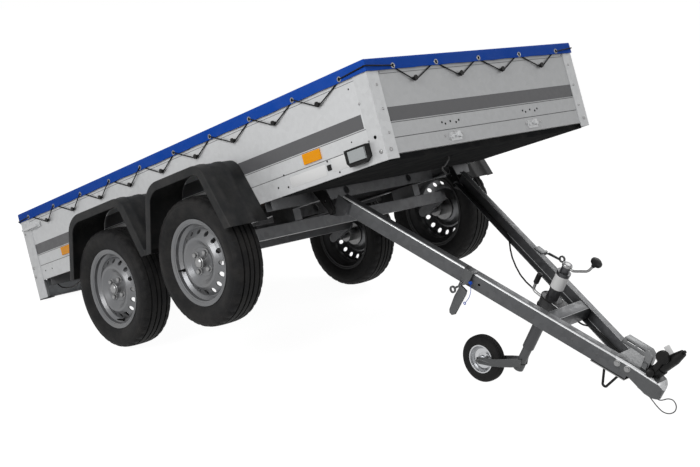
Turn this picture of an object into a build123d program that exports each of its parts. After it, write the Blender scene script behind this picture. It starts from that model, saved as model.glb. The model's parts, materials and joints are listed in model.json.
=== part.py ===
"""Tandem-axle tipping utility trailer, stored as it parks: box tipped nose up, on its rear
road wheels and its jockey wheel.  Millimetres, +X to the coupling, +Y to the left, +Z up.

Two construction frames carry every size:
  box frame      origin on the rear axle line, x forward, z square to the floor
  drawbar frame  origin on the tipping hinge pin, x along the arms, z square to them
"""
from build123d import *
from math import asin, atan2, cos, degrees, hypot, pi, radians, sin, tan
import os

os.makedirs("parts", exist_ok=True)

# ---------------------------------------------------------------- pose
tip_angle = 20.0            # box, nose up
fold_angle = 45.0           # drawbar, nose down against the box

# ---------------------------------------------------------------- box
box_rear = -978.0           # outer face of the rear posts
box_front = 1722.0          # outer face of the front posts
half_width = 640.0          # outer face of the posts
post_sheet = 3.0
side_wall = 12.0
end_wall = 27.0
side_bottom = 163.0
floor_bottom = 180.0
floor_thickness = 12.0
box_top = 531.0
fold_line_low = 236.0       # pressed lines along the walls
fold_line_high = 292.0
fold_line_width = 3.0
fold_line_depth = 1.5

front_post_side = 72.0      # width of the post's leg on the side wall
front_post_face = 60.0      # width of its leg on the front wall
rear_post_side = 87.0
rear_post_face = 60.0
rear_post_bottom = 71.0
bumper_thickness = 5.0

wall_y = half_width - post_sheet            # outer face of the side walls
inner_y = wall_y - side_wall                # inner face of the side walls
wall_rear = box_rear + post_sheet
wall_front = box_front - post_sheet
inner_rear = wall_rear + end_wall
inner_front = wall_front - end_wall
floor_top = floor_bottom + floor_thickness

# ---------------------------------------------------------------- underframe
rail_y = 400.0              # outer face of the long rails
rail_height = 55.0
rail_flange = 40.0
rail_sheet = 4.0
rail_front = 1095.0
cross_width = 40.0
cross_sheet = 3.0
cross_places = (-860.0, -330.0, 350.0, 1000.0)
cross_hole_radius = 22.0
tray_bottom = 160.0         # closed front part of the underframe
tray_sheet = 3.0
tray_hole_x = box_front - 217.0
tray_hole_y = -65.0
tray_hole_radius = 17.0
rear_beam_depth = 40.0
rail_bottom = floor_bottom - rail_height

# ---------------------------------------------------------------- axles and wheels
axle_spacing = 681.0
beam_ahead = 130.0          # beam centre ahead of the wheel centre
beam_lift = 50.0            # beam centre above the wheel centre
beam_size = 50.0
beam_half = 600.0
swing_arm_thickness = 24.0
swing_arm_width = 52.0
spindle_radius = 15.0
wheel_plane = 739.0         # middle of the road tyres
tyre_radius = 273.5
tyre_width = 153.0
rim_radius = 182.5          # to the edge of the rim flange
rim_half = 62.0
disc_offset = 30.0          # hub face outboard of the wheel plane
disc_sheet = 4.0
vent_count = 16
vent_radius = 11.0
vent_circle = 127.0
bolt_count = 4
bolt_circle = 49.0
disc_bore = 22.0
running_fit = 0.3

# ---------------------------------------------------------------- mudguards
guard_outer = 835.0
guard_sheet = 4.0
guard_lip = 38.0
guard_bottom = 95.0
guard_top = 378.0
guard_shoulder = 340.0
guard_rear_foot = -293.0    # from the rear wheel's centre
guard_rear_shoulder = (-190.0, -123.0)
guard_rear_flat = 277.0
guard_front_shoulder = (-202.0, -141.0)     # from the front wheel's centre
guard_front_flat = 207.0
guard_front_foot = 312.0
guard_valley_gap = 29.5     # foot between the wheels to the front tyre
guard_valley = axle_spacing - tyre_radius - guard_valley_gap

# ---------------------------------------------------------------- cover
cover_sheet = 2.2
cover_gap = 0.4
cover_hem = 488.0
lace_radius = 2.5
cover_standoff = 2 * lace_radius + 0.9      # wall face to the inside of the skirt
eyelet_height = 500.0
eyelet_radius = 6.0
button_radius = 10.0
button_neck = 6.0
button_head = 5.0
button_height = 446.0
button_length = 17.0
side_button_first = box_front - 276.0
side_button_pitch = 267.3
side_latch_front = -784.0
side_button_gap = 20.0        # least, from the last button to the side latch
side_button_count = int((side_button_first - side_latch_front - side_button_gap) / side_button_pitch) + 1
side_eyelet_first = box_front - 135.0
side_eyelet_pitch = 273.5
front_button_places = (-398.0, -131.0, 131.0, 398.0)
front_eyelet_places = (-499.0, -257.0, 1.0, 268.0, 528.0)

# ---------------------------------------------------------------- lamps on the box
lamp_length = 116.0
lamp_x1 = box_front - front_post_side - 1
lamp_x0 = lamp_x1 - lamp_length
lamp_z0, lamp_z1 = 178.0, 243.0
lamp_depth = 26.0
lens_depth = 8.0
reflector_length = 100.0
reflector_sheet = 6.0
reflector_z0, reflector_z1 = 249.0, 290.0
reflector_places = (box_front - 436.0, box_rear + 338.0)
rear_lamp_depth = 28.0

# ---------------------------------------------------------------- tailgate
gate_clearance = 5.0
gate_hinge_x = box_rear - 4.0
gate_hinge_z = 188.0
gate_knuckle = 7.0
gate_pin = 4.0
gate_top = box_top - 7.0
gate_hinge_places = (-270.0, 0.0, 270.0)

# ---------------------------------------------------------------- drawbar (drawbar frame)
pin_x = 1118.0              # tipping hinge pin, in the box frame
pin_z = 68.0
pin_radius = 8.0
arm_lift = 50.0             # middle of the arms above the pin
arm_height = 67.0
arm_sheet = 3.0
arm_flange = 36.0
arm_start = 22.0
arm_end = 1287.0
arm_root_y = 392.7          # outer face at arm_root_a
arm_root_a = 25.0
arm_tip_y = 25.6            # outer face, extended to arm_tip_a
arm_tip_a = 1383.6
bracket_y = rail_y          # inner face of the hinge brackets
bracket_sheet = 6.0
hinge_plate_outer = 399.2
arm_top = arm_lift + arm_height / 2
arm_bottom = arm_lift - arm_height / 2
arm_slope = (arm_root_y - arm_tip_y) / (arm_tip_a - arm_root_a)

crossbar_back = 922.0
crossbar_width = 50.0
crossbar_sheet = 4.0
nose_place = 1383.0
nose_radius = 38.0
nose_bottom = 16.0
nose_round = 13.0
nose_plate_back = 1150.0
nose_plate_sheet = 4.0
coupling_back = nose_place - 164.0
coupling_sheet = 4.0
coupling_top = arm_top + coupling_sheet
ball_socket = 25.3
socket_depth = 38.0
latch_place = 610.0
handle_half = 17.0
handle_sheet = 2.5
handle_pin = nose_place - 65.0
plug_place = nose_place - 22.0
plug_foot = coupling_top + 13.0
plug_lean = 22.0

# ---------------------------------------------------------------- jockey wheel (drawbar frame)
jockey_place = 858.0        # tube axis
jockey_tube = 24.0
jockey_leg = 19.0
jockey_sleeve = 27.0
jockey_tube_bottom = -175.0
jockey_tube_top = 200.0
jockey_head_top = jockey_tube_top + 36.0
jockey_leg_bottom = -252.0
jockey_leg_top = 40.0
swivel_pin = 9.0
swivel_length = 30.0
clamp_bottom = 25.0
clamp_top = 75.0
jockey_trail = 161.0        # tube axis to wheel centre, along the arms
jockey_radius = 100.0
jockey_width = 50.0
jockey_slide = 150.0
jockey_extend = 100.0
jockey_retract = 45.0


# ---------------------------------------------------------------- placing
def tipped(x, z):
    """A point of the box frame, seen from above the rear wheels' ground line: (x, z)."""
    a = radians(tip_angle)
    return x * cos(a) - z * sin(a), tyre_radius + x * sin(a) + z * cos(a)


nose_down = fold_angle - tip_angle
pin_ground_x, pin_ground_z = tipped(pin_x, pin_z)


def drawn(a, b):
    """A point of the drawbar frame, in the same ground frame as tipped()."""
    n = radians(nose_down)
    return pin_ground_x + a * cos(n) + b * sin(n), pin_ground_z - a * sin(n) + b * cos(n)


jockey_a = jockey_place - jockey_trail
jockey_b = (jockey_radius - pin_ground_z + jockey_a * sin(radians(nose_down))) / cos(radians(nose_down))

box_frame = Pos(0, 0, tyre_radius) * Rot(0, -tip_angle, 0)
drawbar_frame = box_frame * Pos(pin_x, 0, pin_z) * Rot(0, fold_angle, 0)

nodes = {}


def keep(name, solids, frame):
    """Store one node: its solids, placed in the common frame."""
    group = solids if isinstance(solids, list) else [solids]
    flat = [s for g in group for s in g.solids()]
    nodes[name] = frame * Compound(children=flat)


# ---------------------------------------------------------------- shapes
def block(x0, x1, y0, y1, z0, z1):
    return Pos((x0 + x1) / 2, (y0 + y1) / 2, (z0 + z1) / 2) * Box(abs(x1 - x0), abs(y1 - y0), abs(z1 - z0))


def side_plate(points, y0, y1):
    """Plate square to Y from an outline of (x, z) points."""
    face = Face(Wire.make_polygon([(x, y0, z) for x, z in points]))
    return Solid.extrude(face, Vector(0, y1 - y0, 0))


def plan_plate(points, z0, z1):
    """Plate square to Z from an outline of (x, y) points."""
    face = Face(Wire.make_polygon([(x, y, z0) for x, y in points]))
    return Solid.extrude(face, Vector(0, 0, z1 - z0))


def rod(start, end, radius):
    """Round bar between two points."""
    start, end = Vector(*start), Vector(*end)
    plane = Plane(origin=start, z_dir=end - start)
    return plane * Cylinder(radius, (end - start).length, align=(Align.CENTER, Align.CENTER, Align.MIN))


def pin_along_y(x, z, y0, y1, radius):
    return rod((x, y0, z), (x, y1, z), radius)


def bent_rod(points, radius, bend):
    """Round bar along straight runs joined by arcs of one bend radius."""
    path = FilletPolyline(*points, radius=bend)
    section = Plane(origin=path @ 0, z_dir=path % 0) * Circle(radius)
    return sweep(section, path=path)


def cord(name, points, radius, widest):
    """Cord along runs joined by arcs: each 0.45 of its shorter run, and no larger than widest."""
    arcs = []
    for before, here, after in zip(points, points[1:], points[2:]):
        run_in, run_out = Vector(*here) - Vector(*before), Vector(*after) - Vector(*here)
        half_turn = radians(run_in.get_angle(run_out)) / 2
        arcs.append(min(widest, 0.45 * min(run_in.length, run_out.length) / tan(half_turn)))
    path = FilletPolyline(*points, radius=arcs)
    print(name, "length", round(path.length), "radii", [round(r, 1) for r in arcs])
    section = Plane(origin=path @ 0, z_dir=path % 0) * Circle(radius)
    return sweep(section, path=path)


def mirrored(shape):
    return mirror(shape, about=Plane.XZ)


def both_sides(shape):
    return [shape, mirrored(shape)]


def turned(profile, y):
    """Ring about the Y axis from (radius, offset along Y) points, centred at y."""
    face = Face(Wire.make_polygon([(0, y + off, r) for r, off in profile]))
    return Solid.revolve(face, 360, Axis.Y)


# ================================================================ box
def floor():
    return block(inner_rear, inner_front, -inner_y, inner_y, floor_bottom, floor_top)


def pressed_lines(x0, x1, y0, y1):
    """Shallow grooves where the wall sheet is folded, to be cut from a wall."""
    return [block(x0, x1, y0, y1, z, z + fold_line_width) for z in (fold_line_low, fold_line_high)]


def side_wall_left():
    wall = block(wall_rear, wall_front, inner_y, wall_y, side_bottom, box_top)
    for groove in pressed_lines(wall_rear, wall_front, wall_y - fold_line_depth, wall_y):
        wall = wall - groove
    return wall


def front_wall():
    wall = block(inner_front, wall_front, -inner_y, inner_y, floor_bottom, box_top)
    for groove in pressed_lines(wall_front - fold_line_depth, wall_front, -inner_y, inner_y):
        wall = wall - groove
    return wall


def front_post_left():
    face = block(wall_front, box_front, half_width - front_post_face, half_width, side_bottom, box_top)
    leg = block(box_front - front_post_side, box_front, wall_y, half_width, side_bottom, box_top)
    return face + leg


def rear_post_left():
    leg = block(box_rear, box_rear + rear_post_side, wall_y, half_width, rear_post_bottom, box_top)
    face = block(box_rear, wall_rear, half_width - rear_post_face, half_width, rear_post_bottom, floor_bottom)
    return leg + face


def rear_beam():
    y = half_width - rear_post_face
    top = side_bottom
    front = wall_rear + rear_beam_depth
    web = block(box_rear, wall_rear, -y, y, rear_post_bottom, top)
    upper = block(wall_rear, front, -wall_y, wall_y, top - post_sheet, top)
    lower = block(wall_rear, front, -wall_y, wall_y, rear_post_bottom, rear_post_bottom + post_sheet)
    return web + upper + lower


def bumper_left():
    return block(box_rear, box_rear + 52, half_width - rear_post_face, half_width,
                 rear_post_bottom - bumper_thickness, rear_post_bottom)


def gate_hinge_box_part(y):
    """Fixed leaf, two knuckles and the pin of one tailgate hinge."""
    leaf = block(gate_hinge_x + 1, box_rear, y - 40, y + 40, side_bottom - 45, gate_hinge_z - gate_knuckle)
    part = leaf
    for y0, y1 in ((y - 40, y - 16), (y + 16, y + 40)):
        knuckle = pin_along_y(gate_hinge_x, gate_hinge_z, y0, y1, gate_knuckle)
        foot = block(gate_hinge_x + 1, box_rear, y0, y1, gate_hinge_z - gate_knuckle - 1, gate_hinge_z)
        part = part + knuckle + foot
    return part + pin_along_y(gate_hinge_x, gate_hinge_z, y - 40, y + 40, gate_pin)


# ---------------------------------------------------------------- underframe
def rail_left():
    back = box_rear + rear_beam_depth + post_sheet
    part = block(back, rail_front, rail_y - rail_sheet, rail_y, rail_bottom, floor_bottom)
    for z in (rail_bottom, floor_bottom - rail_sheet):
        part = part + block(back, rail_front, rail_y - rail_flange, rail_y, z, z + rail_sheet)
    return part


def cross_member(x, y0, y1, hole_places):
    """Inverted U across the frame under the floor, with round holes in its webs."""
    x0, x1 = x - cross_width / 2, x + cross_width / 2
    part = block(x0, x1, y0, y1, rail_bottom, floor_bottom)
    part = part - block(x0 + cross_sheet, x1 - cross_sheet, y0, y1, rail_bottom, floor_bottom - cross_sheet)
    middle = (rail_bottom + floor_bottom) / 2
    for y in hole_places:
        part = part - rod((x0 - 1, y, middle - 2), (x1 + 1, y, middle - 2), cross_hole_radius * 0.8)
    return part


def cross_members():
    span = rail_y - rail_flange
    pieces = []
    for x in cross_places:
        pieces.append(cross_member(x, -span, span, (-0.55 * span, 0.55 * span)))
        outrigger = cross_member(x, rail_y, inner_y, ())
        pieces += both_sides(outrigger)
    return pieces


def front_tray():
    """Closed pan under the front part of the floor, with the wiring hole."""
    front = inner_front - 2
    pan = block(rail_front, front, -inner_y, inner_y, tray_bottom, tray_bottom + tray_sheet)
    for x in (rail_front, front - tray_sheet):
        pan = pan + block(x, x + tray_sheet, -inner_y, inner_y, tray_bottom, floor_bottom)
    low, high = tray_bottom - 1, tray_bottom + tray_sheet + 1
    return pan - rod((tray_hole_x, tray_hole_y, low), (tray_hole_x, tray_hole_y, high), tray_hole_radius)


def hinge_bracket_left():
    """Plate under the rail that carries the tipping hinge pin."""
    outline = [(1030, 176), (rail_front - 1, 176), (rail_front - 1, tray_bottom - 2), (1112, tray_bottom - 2),
               (pin_x + 20, pin_z + 6), (pin_x + 13, pin_z - 17), (pin_x - 13, pin_z - 17), (pin_x - 22, pin_z + 4)]
    plate = side_plate(outline, bracket_y, bracket_y + bracket_sheet)
    plate = plate - pin_along_y(1094, 112, bracket_y - 1, bracket_y + bracket_sheet + 1, 6)
    pin = pin_along_y(pin_x, pin_z, bracket_y - 24, bracket_y + bracket_sheet + 8, pin_radius)
    head = pin_along_y(pin_x, pin_z, bracket_y + bracket_sheet, bracket_y + bracket_sheet + 8, pin_radius + 5)
    return plate + pin + head


# ---------------------------------------------------------------- axles and wheels
def axle(x):
    """Torsion axle: square beam, two brackets to the rails, trailing arms and spindles."""
    bx, bz, h = x + beam_ahead, beam_lift, beam_size / 2
    part = block(bx - h, bx + h, -beam_half, beam_half, bz - h, bz + h)
    for s in (1, -1):
        bracket = block(bx - 70, bx + 70, s * (rail_y - 40), s * rail_y, bz + h, rail_bottom)
        bracket = bracket - block(bx - 62, bx + 62, s * (rail_y - 34), s * (rail_y - 6), bz + h, rail_bottom)
        y0, y1 = s * beam_half, s * (beam_half + swing_arm_thickness)
        arm = side_plate(tapered_bar((bx, bz), (x, 0), swing_arm_width / 2, swing_arm_width / 2 - 4), y0, y1)
        arm = arm + pin_along_y(bx, bz, y0, y1, swing_arm_width / 2)
        arm = arm + pin_along_y(x, 0, y0, y1, swing_arm_width / 2 - 4)
        spindle = pin_along_y(x, 0, y1, s * (wheel_plane + disc_offset + 4), spindle_radius)
        part = part + bracket + arm + spindle
    return part


def tapered_bar(start, end, half_start, half_end):
    """Four corners of a bar between two points of one plane."""
    (x0, z0), (x1, z1) = start, end
    a = atan2(z1 - z0, x1 - x0)
    nx, nz = -sin(a), cos(a)
    return [(x0 + nx * half_start, z0 + nz * half_start), (x1 + nx * half_end, z1 + nz * half_end),
            (x1 - nx * half_end, z1 - nz * half_end), (x0 - nx * half_start, z0 - nz * half_start)]


def road_tyre(side):
    """Hollow tyre: tread, two walls and beads on the rim."""
    w = tyre_width / 2
    r = tyre_radius
    outside = [(167.8, 57.5), (183, 57.5), (186, 63), (228, w), (262, w - 8), (r, w - 22)]
    inside = [(r - 13, w - 26), (252, w - 18), (228, w - 8), (192, 50), (167.8, 46)]
    half = outside + [(rr, -off) for rr, off in reversed(outside)]
    hollow = [(rr, -off) for rr, off in reversed(inside)] + inside
    return turned(half + hollow, side * wheel_plane)


def road_rim(side):
    """Rim barrel and dished disc with a ring of vent holes."""
    e = rim_half
    barrel = [(rim_radius, e), (rim_radius, e - 4), (167.5, e - 4), (165, 36), (152, 26), (152, -26), (165, -36),
              (167.5, 4 - e), (rim_radius, 4 - e), (rim_radius, -e), (178, -e), (162, -42), (147, -28),
              (147, 28), (160, 40), (162, e - 8), (178, e)]
    d, t = disc_offset, disc_sheet
    disc = [(disc_bore, d), (62, d), (76, d + 6), (96, d + 20), (104, d + 20), (120, d + 6), (142, d - 8), (148, d - 8),
            (148, d - 8 + t), (144, d - 8 + t), (122, d + 6 + t), (105, d + 20 + t), (94, d + 20 + t),
            (74, d + 6 + t), (60, d + t), (disc_bore, d + t)]
    y = side * wheel_plane
    flip = [(r, side * off) for r, off in barrel]
    ring = turned(flip, y)
    dish = turned([(r, side * off) for r, off in disc], y)
    for k in range(vent_count):
        a = 2 * pi * (k + 0.5) / vent_count
        px, pz = vent_circle * cos(a), vent_circle * sin(a)
        dish = dish - pin_along_y(px, pz, y - 5 * side, y + 60 * side, vent_radius)
    return ring + dish


def road_hub(side):
    """Hub, wheel bolts and grease cap."""
    face = side * (wheel_plane + disc_offset)
    outer = face + side * disc_sheet
    part = pin_along_y(0, 0, face - side * 70, face, 34) + pin_along_y(0, 0, face - side * 10, face, 60)
    part = part + pin_along_y(0, 0, face, outer + side * 24, disc_bore)
    part = part - pin_along_y(0, 0, face - side * 71, outer + side * 10, spindle_radius + running_fit)
    for k in range(bolt_count):
        a = pi * (k + 0.5) / 2
        bx, bz = bolt_circle * cos(a), bolt_circle * sin(a)
        part = part + pin_along_y(bx, bz, outer, outer + side * 13, 10)
    return part


def at_wheel(shape, x):
    return Pos(x, 0, 0) * shape


# ---------------------------------------------------------------- mudguards
# one row per arch: rear foot, rear shoulder, start and end of the flat top, front foot
guard_arches = (
    (guard_rear_foot, *guard_rear_shoulder, guard_rear_flat, guard_valley),
    (guard_valley, *(axle_spacing + x for x in guard_front_shoulder), axle_spacing + guard_front_flat,
     axle_spacing + guard_front_foot),
)


def guard_outline(arch, inset):
    """Corner points of one arch, moved inward by inset."""
    rear_foot, shoulder, flat_start, flat_end, front_foot = arch
    k = inset
    return [(rear_foot + k * 1.05, guard_bottom), (shoulder + k * 0.9, guard_shoulder - k * 0.35),
            (flat_start + k * 0.3, guard_top - k), (flat_end - k * 0.6, guard_top - k),
            (front_foot - k * 1.05, guard_bottom)]


def mudguard_left():
    """Two joined arches: a crown from the wall to the outer lip, and the lip itself."""
    part = None
    for arch in guard_arches:
        outer = guard_outline(arch, 0)
        hollow = side_plate(guard_outline(arch, guard_sheet), wall_y, guard_outer)
        crown = side_plate(outer, wall_y, guard_outer) - hollow
        lip = side_plate(outer, guard_outer - guard_sheet, guard_outer)
        lip = lip - side_plate(guard_outline(arch, guard_lip), guard_outer - guard_sheet, guard_outer)
        arch_part = crown + lip
        part = arch_part if part is None else part + arch_part
    foot = [(guard_valley - 6, guard_bottom), (guard_valley + 6, guard_bottom),
            (guard_valley + 11, guard_bottom + 23), (guard_valley - 11, guard_bottom + 23)]
    return part + side_plate(foot, wall_y, guard_outer)


# ---------------------------------------------------------------- cover, buttons, lamps
side_buttons = [side_button_first - k * side_button_pitch for k in range(side_button_count)]
side_eyelets = [side_eyelet_first - k * side_eyelet_pitch for k in range(side_button_count + 1)]


def cover():
    """Flat sheet over the box with a skirt down the sides and the front, and its eyelets."""
    t, low, high = cover_sheet, cover_hem, box_top + cover_gap
    y = wall_y + cover_standoff
    x0, x1 = box_rear - cover_gap, wall_front + cover_standoff
    part = block(x0 - t, x1 + t, -y - t, y + t, high, high + t)
    part = part + block(x1, x1 + t, -y - t, y + t, low, high)
    for side in (1, -1):
        part = part + block(x0 - t, x1, side * y, side * (y + t), low, high)
    z = eyelet_height
    for x in side_eyelets:
        part = part - pin_along_y(x, z, -y - t - 1, 1 - y, eyelet_radius)
        part = part - pin_along_y(x, z, y - 1, y + t + 1, eyelet_radius)
    for place in front_eyelet_places:
        part = part - rod((x1 - 1, place, z), (x1 + t + 1, place, z), eyelet_radius)
    return part


def cover_rear_flap():
    """Hem laced to the tailgate, which goes down with it."""
    t = cover_sheet
    x = wall_rear - cover_gap
    y = inner_y - gate_clearance
    return block(x - t, x, -y, y, cover_hem, gate_top)


def button(x, y, along_x, along_y):
    """Lacing button on a wall, standing out along the given direction: a neck and a head."""
    def out(length):
        return x + along_x * length, y + along_y * length, button_height

    n = button_length - button_head
    return rod(out(0), out(button_length), button_neck) + rod(out(n), out(button_length), button_radius)


def lacing_buttons():
    pieces = []
    for x in side_buttons:
        pieces += both_sides(button(x, wall_y, 0, 1))
    for y in front_button_places:
        pieces.append(button(wall_front, y, 1, 0))
    return pieces


# how far the lacing cord lies off a wall: outside the skirt, behind it, round a button's neck
lay_out = cover_standoff + cover_sheet + lace_radius + 0.5
lay_in = lace_radius + 0.4
lay_button = 9.0
inside_eyelets = 5          # from this side eyelet back the cord comes out instead of in


def tangent_below(start, centre, radius):
    """Unit normal where a line from start touches the circle on its lower side."""
    dx, dz = centre[0] - start[0], centre[1] - start[1]
    base, lean = atan2(dz, dx), asin(radius / hypot(dx, dz))
    normals = [(-sin(base + lean), cos(base + lean)), (sin(base - lean), -cos(base - lean))]
    return min(normals, key=lambda n: n[1])


def round_button(before, place, after):
    """Two corners of a cord that hangs round a button's neck, as (along, height, off the wall)."""
    r = button_neck + lace_radius + 0.3
    n1, n2 = (tangent_below(end, (place, button_height), r) for end in (before, after))
    length = hypot(n1[0] + n2[0], n1[1] + n2[1])
    mid = ((n1[0] + n2[0]) / length, (n1[1] + n2[1]) / length)
    corners = []
    for n in (n1, n2):
        k = r / (1 + n[0] * mid[0] + n[1] * mid[1])
        corners.append((place + k * (n[0] + mid[0]), button_height + k * (n[1] + mid[1]), lay_button))
    return corners


def through_eyelet(place, sense, goes_in):
    """Two points of a cord through an eyelet, travelling along the wall in the given sense."""
    first, last = (lay_out, lay_in) if goes_in else (lay_in, lay_out)
    return [(place - sense * 4, eyelet_height, first), (place + sense * 4, eyelet_height - 1.5, last)]


def under_hem(eyelet, corner):
    """Where a cord behind the skirt comes out from under the hem on its way to a button."""
    drop = (eyelet[1] - cover_hem + 4) / (eyelet[1] - corner[1])
    return (eyelet[0] + (corner[0] - eyelet[0]) * drop, cover_hem - 4, lay_in + 0.4)


def side_lacing():
    """Cord down one side, from the front corner back: (x, height, off the wall)."""
    points = []
    for k, place in enumerate(side_eyelets):
        goes_in = k < inside_eyelets
        pair = through_eyelet(place, -1, goes_in)
        if k and not goes_in:
            points.append(under_hem(pair[0], points[-1]))
        points += pair
        if k < side_button_count:
            ahead = (side_eyelets[k + 1] + 4, eyelet_height)
            wrap = round_button(pair[1][:2], side_buttons[k], ahead)
            if goes_in:
                points.append(under_hem(pair[1], wrap[0]))
            points += wrap
    return points


def front_lacing():
    """Cord across the front, from right to left: (y, height, off the wall)."""
    last = len(front_eyelet_places) - 1
    points = through_eyelet(front_eyelet_places[0], 1, True)
    for k, place in enumerate(front_button_places):
        start = points[-1]
        eyelet = front_eyelet_places[k + 1]
        if k + 1 == last:
            after = through_eyelet(eyelet, 1, False)
        else:
            after = [(eyelet - 4, eyelet_height, lay_in), (eyelet + 4, eyelet_height - 1, lay_in)]
        wrap = round_button(start[:2], place, after[0][:2])
        points += [under_hem(start, wrap[0]), *wrap, under_hem(after[0], wrap[1]), *after]
    return points


def lacing_cord():
    """One cord from the rear left corner round the front to the rear right one, knotted at both ends."""
    reach = lay_out + 1.6
    corner = (wall_front + reach, wall_y + reach, eyelet_height + 8)
    rear = box_rear - cover_gap - cover_sheet - lace_radius - 2.0
    tail = [(rear, wall_y + reach, cover_hem + 6), (rear, half_width - 6, cover_hem - 2)]
    right = [(x, -wall_y - out, z) for x, z, out in side_lacing()]
    right = right + [(x, -y, z) for x, y, z in tail]
    front = [(wall_front + out, y, z) for y, z, out in front_lacing()]
    left = [(x, -y, z) for x, y, z in right]
    near_corner = (corner[0], -corner[1], corner[2])
    points = right[::-1] + [near_corner] + front + [corner] + left
    line = cord("lacing_cord", points, lace_radius, 8.4)
    knots = [Pos(*points[0]) * Sphere(6.2), Pos(*points[-1]) * Sphere(6.2)]
    return line + knots[0] + knots[1]


def front_catch_left():
    """Hook plate on the front wall that takes the drawbar's toggle clamp when closed."""
    plate = block(wall_front, wall_front + 4, 215, 277, 192, 224)
    hook = block(wall_front + 4, wall_front + 22, 238, 254, 208, 216)
    lip = block(wall_front + 16, wall_front + 22, 238, 254, 204, 224)
    part = plate + hook + lip
    for y in (223, 269):
        part = part + rod((wall_front + 4, y, 208), (wall_front + 11, y, 208), 7)
    return part


def marker_housing_left():
    """Lamp body with its lower corners cut off."""
    low, high = lamp_z0, lamp_z1
    outline = [(lamp_x0 + 14, low), (lamp_x1 - 30, low), (lamp_x1, low + 20), (lamp_x1, high), (lamp_x0, high),
               (lamp_x0, low + 16)]
    return side_plate(outline, wall_y, wall_y + lamp_depth)


def marker_lens_left():
    y = wall_y + lamp_depth
    return block(lamp_x0 + 24, lamp_x1 - 6, y, y + lens_depth, lamp_z0 + 14, lamp_z1 - 9)


def reflectors():
    pieces = []
    for x in reflector_places:
        strip = block(x, x + reflector_length, wall_y, wall_y + reflector_sheet, reflector_z0, reflector_z1)
        pieces += both_sides(strip)
    return pieces


def rear_lamp_left():
    return block(box_rear - rear_lamp_depth, box_rear, 330, 560, 92, 158)


def side_latch_left():
    """Toggle clamp on the side wall that holds the tailgate's corner."""
    base = block(-900, side_latch_front, half_width, half_width + 4, 430, 456)
    lever = block(-930, -800, half_width + 4, half_width + 16, 436, 450)
    strap = block(-972, -925, half_width, half_width + 9, 438, 448)
    return base + lever + strap


# cables under the box, as (x, y, z) points
wiring_radius = 3.5
main_cable = (
    (tray_hole_x, tray_hole_y, tray_bottom + tray_sheet - 1), (tray_hole_x - 4, tray_hole_y + 2, 149),
    (1462, -36, 139), (1412, 6, 135), (1352, 66, 139), (1292, 128, 144), (1232, 194, 140), (1180, 264, 131),
    (1144, 318, 126), (1116, 345, 132), (1078, 362, 134.5), (1038, 370, 132.8), (-850, 370, 132.8),
)
lamp_cable = (
    (-926, -556, floor_bottom - 0.8), (-924, -556, 156), (-908, -557, 128), (-872, -558, 104), (-824, -559, 92),
    (-768, -559, 88), (-712, -558, 93), (-664, -556, 110), (-634, -554, 140), (-628, -553, floor_bottom - 0.8),
)


def box_wiring():
    main = cord("main_cable", main_cable, wiring_radius, 60)
    lamp = cord("lamp_cable", lamp_cable, wiring_radius, 60)
    return [main, lamp]


# ---------------------------------------------------------------- tailgate
def tailgate():
    y = inner_y - gate_clearance
    gate = block(wall_rear, inner_rear, -y, y, floor_top + gate_clearance, gate_top)
    for groove in pressed_lines(wall_rear, wall_rear + fold_line_depth, -y, y):
        gate = gate - groove
    return gate


def gate_hinge_leaf(y):
    top = gate_hinge_z + 60
    part = pin_along_y(gate_hinge_x, gate_hinge_z, y - 15.5, y + 15.5, gate_knuckle)
    part = part + block(gate_hinge_x, wall_rear, y - 15.5, y + 15.5, gate_hinge_z + 1, gate_hinge_z + 14)
    part = part + block(box_rear - 2, wall_rear, y - 36, y + 36, gate_hinge_z + 12, top)
    return part - pin_along_y(gate_hinge_x, gate_hinge_z, y - 17, y + 17, gate_pin + running_fit)


# ================================================================ drawbar
def outer_face_y(a):
    """Outer face of an arm at a distance a ahead of the hinge pin."""
    return arm_root_y - (a - arm_root_a) * arm_slope


def between_arms(solid, inset):
    """Trim a solid to the space between the arms' outer faces, set in by inset."""
    a0, a1 = 0.0, arm_end
    y0, y1 = outer_face_y(a0) - inset, outer_face_y(a1) - inset
    return solid & plan_plate([(a0, y0), (a1, y1), (a1, -y1), (a0, -y0)], -200, 200)


arm_angle = degrees(atan2(arm_slope, 1.0))
arm_length = (arm_end - arm_start) / cos(radians(arm_angle))
arm_hole_places = (663.0, 1060.0, 1161.0)


def arm_left():
    """C channel, web outside and flanges inward, turned in towards the coupling."""
    h = arm_height / 2
    web = block(0, arm_length, -arm_sheet, 0, -h, h)
    part = web
    for z in (-h, h - arm_sheet):
        part = part + block(0, arm_length, -arm_flange, 0, z, z + arm_sheet)
    for a in arm_hole_places:
        run = (a - arm_start) / cos(radians(arm_angle))
        part = part - pin_along_y(run, 0, -arm_sheet - 1, 1, 6.5)
    return Pos(arm_start, outer_face_y(arm_start), arm_lift) * Rot(0, 0, -arm_angle) * part


def hinge_plate_left():
    """Plate on the arm's end with the eye for the hinge pin."""
    outline = [(1, 78), (67, 76), (69, 20), (30, -8), (14, -18), (-12, -18), (-19, 2), (-8, 27)]
    plate = side_plate(outline, hinge_plate_outer - 26, hinge_plate_outer)
    inside = plan_plate([(-60, outer_face_y(-60)), (200, outer_face_y(200)), (200, 200), (-60, 200)], -100, 200)
    plate = plate - inside
    eye = pin_along_y(0, 0, hinge_plate_outer - 8, hinge_plate_outer, 18)
    plate = plate + eye
    return plate - pin_along_y(0, 0, 300, 420, pin_radius + running_fit)


def crossbar():
    """Inverted U between the arms that carries the jockey wheel clamp."""
    low, high = arm_bottom + arm_sheet, arm_top - arm_sheet
    a0, a1 = crossbar_back, crossbar_back + crossbar_width
    bar = block(a0, a1, -300, 300, low, high)
    bar = bar - block(a0 + crossbar_sheet, a1 - crossbar_sheet, -300, 300, low, high - crossbar_sheet)
    return between_arms(bar, arm_sheet / cos(radians(arm_angle)))


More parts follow.
